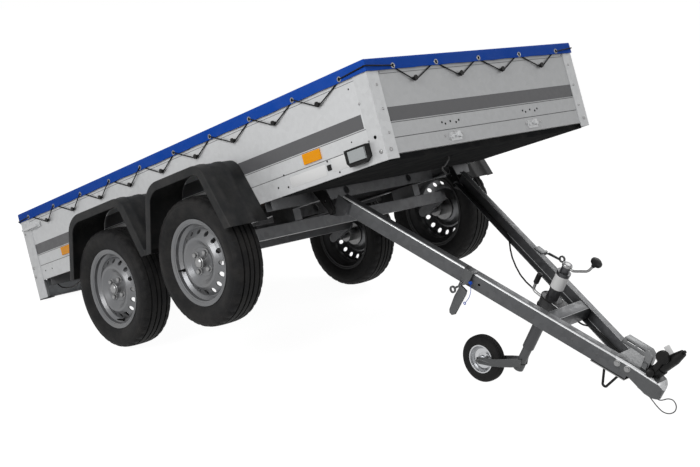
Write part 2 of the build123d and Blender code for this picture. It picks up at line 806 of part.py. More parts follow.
def nose_plate():
    back, low = nose_plate_back, arm_bottom - nose_plate_sheet
    return between_arms(block(back, arm_end, -200, 200, low, arm_bottom), 0)


def tangent_point(x, y, centre_x, radius):
    """Where a line from (x, y) touches the nose circle on its outer side."""
    dx, dy = centre_x - x, -y
    d = hypot(dx, dy)
    a = atan2(dy, dx) + asin(radius / d)
    length = (d * d - radius * radius) ** 0.5
    return x + length * cos(a), y + length * sin(a)


def coupling_plan(inset):
    """Plan outline of the coupling, set in by the sheet: over the arms, then on to the nose."""
    a0, a1 = coupling_back, arm_end
    wall = coupling_sheet - inset
    y0, y1 = outer_face_y(a0) + wall, outer_face_y(a1) + wall
    touch = tangent_point(a1, y1, nose_place, nose_radius - inset)
    return [(a0, y0), (a1, y1), touch]


def coupling_shell(inset, low, high):
    """Solid of the coupling's plan outline between two heights, rounded at the nose."""
    rows = coupling_plan(inset)
    flat = plan_plate(rows + [(a, -y) for a, y in reversed(rows)], low, high)
    nose = Cylinder(nose_radius - inset, high - low, align=(Align.CENTER, Align.CENTER, Align.MIN))
    return flat + Pos(nose_place, 0, low) * nose


def coupling_head():
    """Pressed coupling: a cap over the arm ends that narrows to the ball socket."""
    t, low, high = coupling_sheet, nose_bottom, coupling_top
    shell = coupling_shell(0, low, high)
    rim = [e for e in shell.edges() if e.bounding_box().min.Z > high - 0.01]
    shell = fillet([e for e in rim if e.bounding_box().max.X > coupling_back + 1], nose_round)
    side = [(coupling_back - 1, high + 1), (coupling_back + 44, 43), (coupling_back + 84, 36),
            (nose_place - 10, low), (nose_place + 60, low), (nose_place + nose_radius + 2, high - 34),
            (nose_place + nose_radius - 8, high - 18), (nose_place + nose_radius - 24, high - 6),
            (nose_place - 16, high + 1)]
    shell = shell & side_plate(side, -120, 120)
    hollow = coupling_shell(t, low - 1, arm_top) & block(coupling_back - 5, nose_place - 34, -120, 120, -20, 120)
    hollow = hollow + arm_ends()
    socket = Pos(nose_place, 0, low - 1) * Cylinder(
        ball_socket, socket_depth + 1, align=(Align.CENTER, Align.CENTER, Align.MIN))
    shell = shell - hollow - socket
    for side_of in (1, -1):
        y = side_of * (handle_half + 0.5)
        ear = side_plate([(handle_pin - 12, high - 1), (handle_pin + 12, high - 1), (handle_pin + 8, high + 24),
                          (handle_pin - 8, high + 24)], y, y + side_of * 4)
        shell = shell + ear
    return shell + pin_along_y(handle_pin, high + 15, -handle_half - 3, handle_half + 3, 4)


def arm_ends():
    """The space that the ends of the arms take up inside the coupling."""
    a0, a1 = coupling_back - 5, arm_end + 0.5
    y0, y1 = outer_face_y(a0), outer_face_y(a1)
    return plan_plate([(a0, y0), (a1, y1), (a1, -y1), (a0, -y0)], arm_bottom - 1, arm_top)


# side outline of the coupling handle, from its pin: (along, above the coupling's top)
handle_outline = ((-124, 30), (-118, 59), (-14, 72), (10, 60), (14, 8), (-12, 8), (-18, 40), (-60, 38))
handle_inside = ((-121, 20), (-116, 56), (-14, 69), (7, 58), (11, 0), (-12, 0), (-18, 30), (-60, 30))
handle_slots = (((-108, 46), (-108, 54), (-68, 59), (-68, 51)), ((-58, 52), (-58, 60), (-24, 64), (-24, 56)))


def handle_plate(rows, half):
    return side_plate([(handle_pin + a, coupling_top + b) for a, b in rows], -half, half)


def coupling_handle():
    """Lever of folded sheet, open below, with two slots in each side."""
    part = handle_plate(handle_outline, handle_half) - handle_plate(handle_inside, handle_half - handle_sheet)
    for slot in handle_slots:
        part = part - handle_plate(slot, handle_half + 1)
    return part - pin_along_y(handle_pin, coupling_top + 15, -30, 30, 4 + running_fit)


def coupling_bolts():
    pieces = []
    nx, ny = sin(radians(arm_angle)), cos(radians(arm_angle))
    for a in (coupling_back + 20, coupling_back + 60):
        y = outer_face_y(a)
        t0, t1 = coupling_sheet, coupling_sheet + 9
        pieces += both_sides(rod((a + nx * t0, y + ny * t0, 66), (a + nx * t1, y + ny * t1, 66), 9))
    return pieces


# the safety cable is held beside the ball's way into the socket
ferrule_end = nose_place - ball_socket - 9.0
ferrule_b = -17.0
cable_y = ball_socket + 5.0
strand_y = 2.6
rope_radius = 2.25


def cable_sleeve():
    """Spring sleeve and ferrule under the nose that hold both strands of the safety cable."""
    root = (nose_plate_back + 64, cable_y, arm_bottom - nose_plate_sheet - 5.4)
    tip = (ferrule_end - 30, cable_y, ferrule_b)
    return rod(root, tip, 5) + rod((ferrule_end - 32, cable_y, ferrule_b), (ferrule_end, cable_y, ferrule_b), 6.5)


# loop of the safety cable, from one strand of the ferrule round to the other: (a, y, b)
safety_loop = (
    (ferrule_end + 0.8, cable_y - strand_y, ferrule_b), (1373, 30, -22), (1398, 28, -29), (1424, 22, -32),
    (1452, 12, -28), (1477, 4, -12), (1492, 1, 12), (1487, 0, 37), (1465, 0, 49), (1444, 1, 37), (1430, 6, 16),
    (1416, 17, 0), (1397, 29, -10), (1374, 34, -15.5), (ferrule_end + 0.8, cable_y + strand_y, ferrule_b),
)


def safety_cable():
    return cord("safety_cable", safety_loop, rope_radius, 60)


def plug_frame():
    return Pos(plug_place, 0, plug_foot) * Rot(0, plug_lean, 0)


def plug_holder():
    """Parking socket for the plug on a small block, with its round lid open beside it."""
    foot = block(plug_place - 17, plug_place + 17, -20, 20, coupling_top, plug_foot + 6)
    cup = Cylinder(26, 28, align=(Align.CENTER, Align.CENTER, Align.MIN))
    lid = pin_along_y(plug_place + 5, plug_foot + 82, -40, -27, 25)
    arm = side_plate([(plug_place - 12, plug_foot + 6), (plug_place + 8, plug_foot + 6),
                      (plug_place + 16, plug_foot + 72), (plug_place - 4, plug_foot + 72)], -32, -24.5)
    return foot + plug_frame() * cup + lid + arm


def plug():
    body = Pos(0, 0, 28) * Cylinder(22, 66, align=(Align.CENTER, Align.CENTER, Align.MIN))
    neck = Pos(0, 0, 94) * Cone(22, 13, 44, align=(Align.CENTER, Align.CENTER, Align.MIN))
    tail = Pos(0, 0, 138) * Cylinder(6, 10, align=(Align.CENTER, Align.CENTER, Align.MIN))
    return plug_frame() * (body + neck + tail)


# cable from the left arm's channel, down to the clamp and back into the channel: (a, in from the arm's face, b)
drawbar_cable_route = (
    (45, 12, 30), (110, 13, 23.3), (410, 13, 23.3), (440, 30, 25), (466, 50, 25), (490, 56, 8), (520, 60, -10),
    (562, 66, -23), (610, 76, -28), (660, 88, -22), (706, 104, -8), (750, 116, 2), (800, 112, 6), (852, 92, 6),
    (900, 68, 5), (944, 56, 7), (986, 50, 13), (1012, 45, 27), (1036, 28, 28), (1064, 13, 23.3), (1190, 12, 23.3),
)


def drawbar_cable():
    points = [(a, outer_face_y(a) - off, b) for a, off, b in drawbar_cable_route]
    return cord("drawbar_cable", points, wiring_radius, 60)


# one row per clamp: side, lever and hook outlines as (a, b) points, eye centre
clamp_rows = (
    (-1, ((606, 16), (640, 12), (643, -6), (634, -108), (624, -118), (610, -116), (603, -104), (600, -40)),
     ((598, 10), (608, 10), (590, -14), (582, -10)), (580, -24)),
    (1, ((612, 44), (640, 50), (700, 34), (716, 24), (712, 10), (694, 8), (632, 18)),
     ((630, 76), (640, 88), (694, 96), (696, 88)), (706, 100)),
)


def toggle_clamp(side, lever_rows, hook_rows, eye):
    """Clamp on an arm: strap over its edge, lever and the hook's eye."""
    a, y = latch_place, outer_face_y(latch_place)
    strap = side_plate([(a - 22, arm_top + 4), (a + 22, arm_top + 4), (a + 20, 36), (a - 2, 14), (a - 16, 14)],
                       y + 6, y + 10)
    top = block(a - 22, a + 22, y - 26, y + 10, arm_top, arm_top + 4)
    seat = block(a - 19, a + 19, y - 8, y + 7, 38, arm_top) - arm_envelope()
    lever = side_plate(lever_rows, y + 10, y + 20)
    hook = side_plate(hook_rows, y + 12, y + 18)
    ring = pin_along_y(*eye, y + 12, y + 18, 15) - pin_along_y(*eye, y + 11, y + 19, 8)
    low, high, start = (70, arm_top + 4, a + 12) if side > 0 else (4, 30, a - 14)
    bridge = block(start, start + 10, y + 10, y + 18, low, high)
    part = strap + top + seat + lever + hook + ring + bridge
    return part if side > 0 else mirrored(part)


cord_knot = (637.0, 46.0)
clamp_cord_route = ((640.9, 40.6), (650, 28), (656, 11), (658, -7), (656, -23), (651.9, -36.4))
clamp_cord_radius = 1.25


def clamp_cord():
    """Thin cord from a knot on the right clamp, with a small ring on its end."""
    y = -outer_face_y(latch_place) - 9
    points = [(a, y, b) for a, b in clamp_cord_route]
    line = cord("clamp_cord", points, clamp_cord_radius, 40)
    knot = Pos(cord_knot[0], y, cord_knot[1]) * Sphere(6.5)
    ring = pin_along_y(650, -43, y - 1.5, y + 1.5, 6.5) - pin_along_y(650, -43, y - 2, y + 2, 3)
    return [line, knot, ring]


def arm_envelope():
    """Everything inside the outer faces of the arms, between their flanges."""
    return plan_plate([(-60, outer_face_y(-60)), (arm_end, outer_face_y(arm_end)), (arm_end, -outer_face_y(arm_end)),
                       (-60, -outer_face_y(-60))], arm_bottom, arm_top)


def support_strap():
    """Bent bar under the coupling that keeps the nose off the ground."""
    top = arm_bottom - nose_plate_sheet - 2.1
    route = [(1163, 0, top), (1203, 0, -92), (1218, 0, -92), (1249, 0, top)]
    return bent_rod(route, 5, 8)


def jockey_clamp():
    """Split ring bolted to the crossbar, with its T handle."""
    height = clamp_top - clamp_bottom
    ring = Pos(jockey_place, 0, clamp_bottom) * Cylinder(42, height, align=(Align.CENTER, Align.CENTER, Align.MIN))
    block_to_bar = block(jockey_place + 20, crossbar_back, -36, 36, clamp_bottom, clamp_top)
    part = ring + block_to_bar
    bore = Pos(jockey_place, 0, clamp_bottom - 1) * Cylinder(
        jockey_tube + running_fit, height + 2, align=(Align.CENTER, Align.CENTER, Align.MIN))
    part = part - bore
    handle = bent_rod([(jockey_place - 38, 0, 50), (jockey_place - 88, 0, 50), (jockey_place - 90, 0, 88)], 5, 14)
    grip = rod((jockey_place - 90, 0, 84), (jockey_place - 90, 0, 128), 10)
    return part + handle + grip


# ---------------------------------------------------------------- jockey wheel
def standing(radius, b0, b1):
    return Pos(jockey_place, 0, b0) * Cylinder(radius, b1 - b0, align=(Align.CENTER, Align.CENTER, Align.MIN))


def jockey_outer_tube():
    """Tube with its label sleeve, collar and screw head."""
    top = jockey_tube_top
    part = standing(jockey_tube, jockey_tube_bottom, top) + standing(jockey_sleeve, top - 82, top - 8)
    part = part - standing(jockey_leg + running_fit, jockey_tube_bottom - 1, top - 3)
    return part + standing(jockey_sleeve + 1, top - 8, top) + standing(18, top, jockey_head_top)


def jockey_crank():
    a, b = jockey_place + 18 + running_fit, jockey_head_top - 12
    arm = bent_rod([(a, 0, b), (a + 14, 0, b), (a + 69, 0, b + 38), (a + 80, 0, b + 68)], 5, 10)
    knob = Pos(a + 82, 0, b + 84) * Sphere(21)
    return arm + knob


def jockey_leg_tube():
    leg = standing(jockey_leg, jockey_leg_bottom, jockey_leg_top)
    return leg + standing(swivel_pin, jockey_leg_bottom - swivel_length, jockey_leg_bottom)


def jockey_fork():
    """Collar on the leg's swivel pin, two cranked side arms back to the wheel, and the axle."""
    low, high = jockey_leg_bottom - swivel_length - 4, jockey_leg_bottom - running_fit
    end_a, end_b = jockey_a, jockey_b
    bore = standing(swivel_pin + running_fit, low + 4, high + 1)
    collar = standing(22, low, high) - bore
    near, far = jockey_leg + 2.5, jockey_width / 2 + 5
    sheet = 5.0
    front = jockey_place + 16
    plan = plan_plate([(front, near), (jockey_place - 24, near), (jockey_place - 62, far), (end_a - 16, far),
                       (end_a - 16, far + sheet), (jockey_place - 62, far + sheet),
                       (jockey_place - 24, near + sheet), (front, near + sheet)], -420, -150)
    outline = side_plate([(front, high - 8), (front - 8, high + 24), (jockey_place - 22, high + 6),
                          (end_a + 54, end_b + 46), (end_a + 2, end_b + 16), (end_a - 14, end_b + 4),
                          (end_a - 8, end_b - 14), (end_a + 8, end_b - 15), (end_a + 74, end_b + 22),
                          (jockey_place - 22, low - 6)], -60, 60)
    arm = plan & outline
    axle_pin = pin_along_y(end_a, end_b, -far - sheet - 6, far + sheet + 6, 6)
    return collar + arm + mirrored(arm) + axle_pin


def jockey_tyre():
    w, r = jockey_width / 2, jockey_radius
    profile = [(60, w - 4), (78, w), (r - 8, w - 3), (r, w - 12), (r, 12 - w), (r - 8, 3 - w), (78, -w), (60, 4 - w)]
    return Pos(jockey_a, 0, jockey_b) * turned(profile, 0)


def jockey_rim():
    w = jockey_width / 2
    profile = [(6.3, w + 3), (13, w + 3), (14, 12), (26, 7), (42, 4), (52, 8), (55, w - 4), (60, w - 4),
               (60, 4 - w), (55, 4 - w), (52, 0), (42, -4), (26, -1), (14, -4), (13, -w - 3), (6.3, -w - 3)]
    return Pos(jockey_a, 0, jockey_b) * turned(profile, 0)


# ================================================================ nodes
keep("floor_panel", floor(), box_frame)
keep("side_wall_left", side_wall_left(), box_frame)
keep("side_wall_right", mirrored(side_wall_left()), box_frame)
keep("front_wall", front_wall(), box_frame)
keep("corner_posts", both_sides(front_post_left()) + both_sides(rear_post_left()), box_frame)
keep("rear_beam", [rear_beam(), *both_sides(bumper_left())], box_frame)
keep("long_rails", both_sides(rail_left()), box_frame)
keep("cross_members", cross_members(), box_frame)
keep("front_tray", front_tray(), box_frame)
keep("hinge_brackets", both_sides(hinge_bracket_left()), box_frame)
keep("gate_hinges_fixed", [gate_hinge_box_part(y) for y in gate_hinge_places], box_frame)
keep("axle_front", axle(axle_spacing), box_frame)
keep("axle_rear", axle(0), box_frame)
keep("mudguard_left", mudguard_left(), box_frame)
keep("mudguard_right", mirrored(mudguard_left()), box_frame)
keep("cover", cover(), box_frame)
keep("lacing_buttons", lacing_buttons(), box_frame)
keep("lacing_cord", lacing_cord(), box_frame)
keep("box_catches", both_sides(front_catch_left()) + both_sides(side_latch_left()), box_frame)
keep("box_wiring", box_wiring(), box_frame)
keep("marker_housings", both_sides(marker_housing_left()), box_frame)
keep("marker_lenses", both_sides(marker_lens_left()), box_frame)
keep("side_reflectors", reflectors(), box_frame)
keep("rear_lamps", both_sides(rear_lamp_left()), box_frame)

keep("tailgate_panel", tailgate(), box_frame)
keep("tailgate_hinges", [gate_hinge_leaf(y) for y in gate_hinge_places], box_frame)
keep("cover_rear_flap", cover_rear_flap(), box_frame)

wheel_places = {
    "front_left": (axle_spacing, 1), "front_right": (axle_spacing, -1),
    "rear_left": (0.0, 1), "rear_right": (0.0, -1),
}
for place, (x, side) in wheel_places.items():
    keep("tyre_" + place, at_wheel(road_tyre(side), x), box_frame)
    keep("rim_" + place, at_wheel(road_rim(side), x), box_frame)
    keep("hub_" + place, at_wheel(road_hub(side), x), box_frame)

keep("arm_left", arm_left(), drawbar_frame)
keep("arm_right", mirrored(arm_left()), drawbar_frame)
keep("hinge_plates", both_sides(hinge_plate_left()), drawbar_frame)
keep("crossbar", crossbar(), drawbar_frame)
keep("coupling_head", coupling_head(), drawbar_frame)
keep("coupling_handle", coupling_handle(), drawbar_frame)
keep("coupling_fixings", [nose_plate(), *coupling_bolts(), cable_sleeve()], drawbar_frame)
keep("plug_holder", plug_holder(), drawbar_frame)
keep("plug", plug(), drawbar_frame)
keep("toggle_clamps", [toggle_clamp(*row) for row in clamp_rows], drawbar_frame)
keep("drawbar_cable", drawbar_cable(), drawbar_frame)
keep("safety_cable", safety_cable(), drawbar_frame)
keep("clamp_cord", clamp_cord(), drawbar_frame)
keep("support_strap", support_strap(), drawbar_frame)
keep("jockey_clamp", jockey_clamp(), drawbar_frame)

keep("jockey_outer_tube", jockey_outer_tube(), drawbar_frame)
keep("jockey_crank", jockey_crank(), drawbar_frame)
keep("jockey_leg_tube", jockey_leg_tube(), drawbar_frame)
keep("jockey_fork", jockey_fork(), drawbar_frame)
keep("jockey_tyre", jockey_tyre(), drawbar_frame)
keep("jockey_rim", jockey_rim(), drawbar_frame)

# the origin is under the middle of the whole trailer's box, its free cords left out
free_cords = ("safety_cable", "clamp_cord")
spans = [shape.bounding_box() for name, shape in nodes.items() if name not in free_cords]
shift_x = -(min(b.min.X for b in spans) + max(b.max.X for b in spans)) / 2

for name, shape in nodes.items():
    export_step(Pos(shift_x, 0, 0) * shape, "parts/" + name + ".step")
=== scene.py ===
# %% [markdown]
# # A tipping utility trailer, dressed
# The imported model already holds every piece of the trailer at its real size. This lesson gives
# each piece its finish and adds the forms that a solid model leaves out: tyre tread, a cloth
# cover, cords, labels and fasteners. First the model is loaded as a fixed frame.

# %% Load the frame
import bpy
import bmesh
import json
from itertools import product
from math import atan2, cos, pi, radians, sin
from mathutils import Matrix, Vector

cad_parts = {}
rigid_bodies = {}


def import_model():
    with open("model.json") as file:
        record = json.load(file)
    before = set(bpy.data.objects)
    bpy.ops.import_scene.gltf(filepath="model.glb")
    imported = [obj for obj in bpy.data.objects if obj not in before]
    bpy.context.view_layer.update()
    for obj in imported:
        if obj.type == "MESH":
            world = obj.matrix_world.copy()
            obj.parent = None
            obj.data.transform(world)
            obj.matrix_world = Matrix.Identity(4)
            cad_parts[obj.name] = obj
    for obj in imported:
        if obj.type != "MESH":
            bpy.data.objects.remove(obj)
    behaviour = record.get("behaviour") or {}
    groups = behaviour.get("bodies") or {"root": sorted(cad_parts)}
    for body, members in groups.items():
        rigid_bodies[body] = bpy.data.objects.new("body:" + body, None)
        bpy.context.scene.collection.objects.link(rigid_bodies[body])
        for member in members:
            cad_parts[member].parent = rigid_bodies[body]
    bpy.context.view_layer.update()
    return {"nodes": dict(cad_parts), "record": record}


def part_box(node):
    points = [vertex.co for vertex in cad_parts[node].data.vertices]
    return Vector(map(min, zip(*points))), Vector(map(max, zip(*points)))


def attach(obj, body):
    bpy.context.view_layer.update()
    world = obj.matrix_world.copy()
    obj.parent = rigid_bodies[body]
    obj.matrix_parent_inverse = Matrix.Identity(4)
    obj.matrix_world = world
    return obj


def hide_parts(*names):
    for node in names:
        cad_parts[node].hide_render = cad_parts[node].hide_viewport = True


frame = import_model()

nodes = frame["nodes"]

# %% [markdown]
# ## Three working frames
# The trailer is parked nose up, so almost nothing on it is level. A maker measures the box from
# its own rear axle and the drawbar from its hinge pin. Each frame below is a matrix that takes
# plain millimetres, measured that way, to the trailer's place. The rear tyre says where the axle is.

# %% Working frames
box_tilt, drawbar_fold = radians(20), radians(45)
hinge_x, hinge_z = 1118, 68
wheel_low, wheel_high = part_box("tyre_rear_left")
axle = (Vector(wheel_low) + Vector(wheel_high)) / 2
origin_x, tyre_radius = axle.x, axle.z

millimetre = Matrix.Scale(0.001, 4)
box_place = Matrix.Translation((origin_x, 0, tyre_radius)) @ Matrix.Rotation(-box_tilt, 4, "Y") @ millimetre
drawbar_place = box_place @ Matrix.Translation((hinge_x, 0, hinge_z)) @ Matrix.Rotation(drawbar_fold, 4, "Y")
print("rear axle at", [round(v, 4) for v in axle])

# %% [markdown]
# ## Camera
# A product picture is taken from well in front of the trailer with a short telephoto lens, at
# about eye height. Place, turn and focal length are three plain values.

# %% Camera
camera_place = (origin_x + 4.2843, -3.5774, 1.6481)
camera_turn = (77.301, 0.462, 44.717)
camera_lens = 58.41


def new_object(name, data):
    """An object with this data, linked into the scene."""
    thing = bpy.data.objects.new(name, data)
    bpy.context.scene.collection.objects.link(thing)
    return thing


camera_data = bpy.data.cameras.new("camera")
camera_data.lens = camera_lens
camera_data.sensor_width = 36.0
camera = new_object("camera", camera_data)
camera.location = camera_place
camera.rotation_euler = [radians(a) for a in camera_turn]
bpy.context.scene.camera = camera
bpy.context.scene.view_settings.view_transform = "Standard"
print("camera", [round(v, 4) for v in camera_place], "lens", camera_lens)

# %% [markdown]
# ## Wiring nodes
# The studio's light and every finish are small networks of nodes. A few helpers wire them: one
# gives a node its values and links, and the others make the nodes that turn up most often.

# %% Node helpers
def feed(node, **inputs):
    """Sets a node's inputs to values, or joins them to sockets. The label i6 means input number 6."""
    for label, value in inputs.items():
        key = int(label[1:]) if label[0] == "i" and label[1:].isdigit() else label.replace("_", " ")
        if isinstance(value, bpy.types.NodeSocket):
            node.id_data.links.new(value, node.inputs[key])
        else:
            node.inputs[key].default_value = value
    return node


def add_node(tree, kind, settings=(), **inputs):
    """A node with its settings and its inputs."""
    node = tree.nodes.new("ShaderNode" + kind)
    for key, value in dict(settings).items():
        setattr(node, key, value)
    return feed(node, **inputs)


def maths(tree, operation, *values):
    """What one math node makes of up to three numbers."""
    return add_node(tree, "Math", {"operation": operation}, **{f"i{k}": v for k, v in enumerate(values)}).outputs[0]


def mixed(tree, factor, first, second):
    """Colour that runs from the first to the second as the factor goes from 0 to 1."""
    return add_node(tree, "Mix", {"data_type": "RGBA"}, i0=factor, i6=first, i7=second).outputs[2]


def ramp(tree, value, start, end, low, high):
    """A number that follows value from low at start to high at end."""
    node = add_node(tree, "MapRange", Value=value, From_Min=start, From_Max=end, To_Min=low, To_Max=high)
    return node.outputs["Result"]


def new_material(name):
    material = bpy.data.materials.new(name)
    material.use_nodes = True
    return material, material.node_tree, material.node_tree.nodes["Principled BSDF"]


# %% [markdown]
# ## Studio
# White seamless paper and three soft boxes: the main one on the trailer's right, because that side
# is the bright one, a weaker one in front, and one behind and above that draws bright lines along
# every top edge. The world fills in softly: it looks white to the camera and in reflections, but
# lights the trailer less than that.

# %% Studio
def area_lamp(name, place, target, watts):
    data = bpy.data.lights.new(name, "AREA")
    data.shape = "SQUARE"
    data.size = 3.0
    data.energy = watts
    lamp = new_object(name, data)
    lamp.location = place
    lamp.rotation_euler = (Vector(target) - Vector(place)).to_track_quat("-Z", "Y").to_euler()


def white_to_viewers(tree, plain, white):
    """A number that is white for the camera, for mirrors and through glass, and plain elsewhere."""
    rays = add_node(tree, "LightPath").outputs
    seen = maths(tree, "MAXIMUM", rays["Is Camera Ray"], rays["Is Glossy Ray"])
    return ramp(tree, maths(tree, "MAXIMUM", seen, rays["Is Transmission Ray"]), 0, 1, plain, white)


area_lamp("key_lamp", (1.2, -5.0, 3.6), (0.2, 0.0, 0.7), 210.0)
area_lamp("front_lamp", (6.0, 1.0, 2.6), (0.5, 0.0, 0.6), 60.0)
area_lamp("back_lamp", (0.2, 5.0, 4.2), (0.6, 0.0, 0.6), 70.0)

world = bpy.data.worlds.new("studio")
bpy.context.scene.world = world
world.use_nodes = True
sky = world.node_tree
feed(sky.nodes["Background"], Color=(1, 1, 1, 1), Strength=white_to_viewers(sky, 0.22, 1.0))

floor_mesh = bpy.data.meshes.new("studio_floor")
bm = bmesh.new()
bmesh.ops.create_grid(bm, x_segments=1, y_segments=1, size=60.0)
bm.to_mesh(floor_mesh)
bm.free()
studio_floor = new_object("studio_floor", floor_mesh)
paper, tree, shader = new_material("white_paper")
feed(shader, Base_Color=(0.22, 0.22, 0.22, 1), Roughness=0.9, Specular_IOR_Level=0.0, Emission_Color=(1, 1, 1, 1),
     Emission_Strength=white_to_viewers(tree, 0.0, 0.96))
floor_mesh.materials.append(paper)
print("floor and three lamps")

# %% [markdown]
# ## Shared effects
# Zinc coating, moulded grain, cloth weave and road dust each turn up on more than one piece. An
# effect like that is a node group with named inputs and outputs: built once, then placed in each
# material with its own values.

# %% Effect helpers
socket_kinds = {"Color": "Color", "Vector": "Vector", "Normal": "Vector"}


def new_effect(name, outputs, **inputs):
    """An empty node group, the sockets of its input node, and its output node. Most sockets are numbers."""
    tree = bpy.data.node_groups.new(name, "ShaderNodeTree")
    for label, value in inputs.items():
        kind = "NodeSocket" + socket_kinds.get(label, "Float")
        socket = tree.interface.new_socket(name=label, in_out="INPUT", socket_type=kind)
        if value is not None:
            socket.default_value = value
    for label in outputs:
        kind = "NodeSocket" + socket_kinds.get(label, "Float")
        tree.interface.new_socket(name=label, in_out="OUTPUT", socket_type=kind)
    return tree, tree.nodes.new("NodeGroupInput").outputs, tree.nodes.new("NodeGroupOutput")


def effect(tree, group, **inputs):
    """What a shared effect gives in this material, with the material's own values."""
    return add_node(tree, "Group", {"node_tree": group}, **inputs).outputs


def sheen_of(r, g, b):
    """A colour written as 0 to 255, as a shader wants it."""
    return tuple((v / 255 / 12.92) if v < 11 else ((v / 255 + 0.055) / 1.055) ** 2.4 for v in (r, g, b)) + (1.0,)


# %% Zinc spangle
spangle, given, gives = new_effect("zinc_spangle", ("Color", "Roughness", "Normal"), Vector=None,
                                   Color=(0.5, 0.5, 0.5, 1), Scale=60.0, Contrast=0.1, Patches=0.08)
crystals = add_node(spangle, "TexVoronoi", Vector=given["Vector"], Scale=given["Scale"])
clouds = add_node(spangle, "TexNoise", Vector=given["Vector"], Scale=4.0, Detail=4.0).outputs[0]
tone = add_node(spangle, "SeparateColor", Color=crystals.outputs["Color"]).outputs
flake = maths(spangle, "MULTIPLY_ADD", tone["Red"], given["Contrast"], 1.0)
cloud = maths(spangle, "MULTIPLY_ADD", clouds, given["Patches"], flake)
level = maths(spangle, "SUBTRACT", cloud, given["Contrast"])
toned = add_node(spangle, "VectorMath", {"operation": "SCALE"}, i0=given["Color"], Scale=level)
waves = add_node(spangle, "Bump", Strength=0.06, Distance=0.001, Height=clouds)
feed(gives, Color=toned.outputs[0], Roughness=ramp(spangle, tone["Green"], 0, 1, 0.36, 0.52),
     Normal=waves.outputs["Normal"])

# %% Moulded grain
grain, given, gives = new_effect("moulded_grain", ("Height", "Normal"), Vector=None, Scale=400.0, Depth=0.3)
pits = add_node(grain, "TexVoronoi", {"feature": "SMOOTH_F1"}, Vector=given["Vector"],
                Scale=given["Scale"]).outputs["Distance"]
pitted = add_node(grain, "Bump", Strength=given["Depth"], Distance=0.0008, Height=pits)
feed(gives, Height=pits, Normal=pitted.outputs["Normal"])

# %% Cloth weave
weave, given, gives = new_effect("cloth_weave", ("Color", "Normal"), Vector=None, Color=(0.1, 0.1, 0.8, 1),
                                 Threads=700.0, Fade=0.12)
over, under = [add_node(weave, "TexWave", {"bands_direction": way}, Vector=given["Vector"],
                        Scale=given["Threads"]).outputs["Fac"] for way in "XZ"]
soft = add_node(weave, "TexNoise", Vector=given["Vector"], Scale=7.0, Detail=5.0).outputs[0]
folds = maths(weave, "MULTIPLY_ADD", soft, 6.0, maths(weave, "MULTIPLY", over, under))
woven = add_node(weave, "Bump", Strength=0.18, Distance=0.002, Height=folds)
shade = maths(weave, "MULTIPLY", ramp(weave, soft, 0.3, 0.7, 0, 1), given["Fade"])
feed(gives, Color=mixed(weave, shade, given["Color"], (0.35, 0.45, 0.6, 1)), Normal=woven.outputs["Normal"])

# %% Road dust
dust, given, gives = new_effect("road_dust", ("Color",), Vector=None, Color=(0.1, 0.1, 0.1, 1), Amount=0.2)
puffs = add_node(dust, "TexNoise", Vector=given["Vector"], Scale=14.0, Detail=6.0, Roughness=0.65).outputs[0]
share = maths(dust, "MULTIPLY", ramp(dust, puffs, 0.42, 0.72, 0, 1), given["Amount"])
feed(gives, Color=mixed(dust, share, given["Color"], (0.28, 0.26, 0.24, 1)))
print("effects:", [g.name for g in bpy.data.node_groups])

# %% [markdown]
# ## Finishes
# Three recipes cover most of the trailer: zinc-coated sheet, moulded plastic or rubber, and plated
# hardware. Each is a function that takes the tone, so that the light side sheets, the duller frame
# and the black fittings share one recipe and differ in their values.

# %% Material helpers
def object_point(tree):
    return add_node(tree, "TexCoord").outputs["Object"]


def box_point(tree):
    """The surface point in the box's own directions, in metres from the rear axle."""
    return add_node(tree, "Mapping", {"vector_type": "TEXTURE"}, Vector=object_point(tree),
                    Location=(origin_x, 0, tyre_radius), Rotation=(0, -box_tilt, 0)).outputs["Vector"]


def parts_of(tree, point):
    """X, Y and Z of a point."""
    return add_node(tree, "SeparateXYZ", Vector=point).outputs


def zinc_sheet(name, tone, scale, contrast, patches, metallic=0.35, dusty=0.0):
    material, tree, shader = new_material(name)
    coat = effect(tree, spangle, Vector=object_point(tree), Color=sheen_of(*tone), Scale=scale, Contrast=contrast,
                  Patches=patches)
    color = coat["Color"]
    if dusty:
        color = effect(tree, dust, Vector=object_point(tree), Color=color, Amount=dusty)["Color"]
    feed(shader, Base_Color=color, Roughness=coat["Roughness"], Normal=coat["Normal"], Metallic=metallic)
    return material


def moulded(name, tone, roughness, scale=300, depth=0.05, dusty=0.15, shine=0.3):
    material, tree, shader = new_material(name)
    skin = effect(tree, grain, Vector=object_point(tree), Scale=scale, Depth=depth)
    dirt = effect(tree, dust, Vector=object_point(tree), Color=sheen_of(*tone), Amount=dusty)
    feed(shader, Base_Color=dirt["Color"], Normal=skin["Normal"], Roughness=roughness, Specular_IOR_Level=shine)
    return material


def plated(name, tone, roughness=0.3, metallic=0.75):
    material, tree, shader = new_material(name)
    streaks = add_node(tree, "TexNoise", Vector=object_point(tree), Scale=90.0, Detail=3.0).outputs[0]
    tint = sheen_of(*tone)
    darker = tuple(v * 0.78 for v in tint[:3]) + (1.0,)
    feed(shader, Base_Color=mixed(tree, streaks, darker, tint), Metallic=metallic,
         Roughness=ramp(tree, streaks, 0.3, 0.7, roughness, roughness + 0.14))
    return material


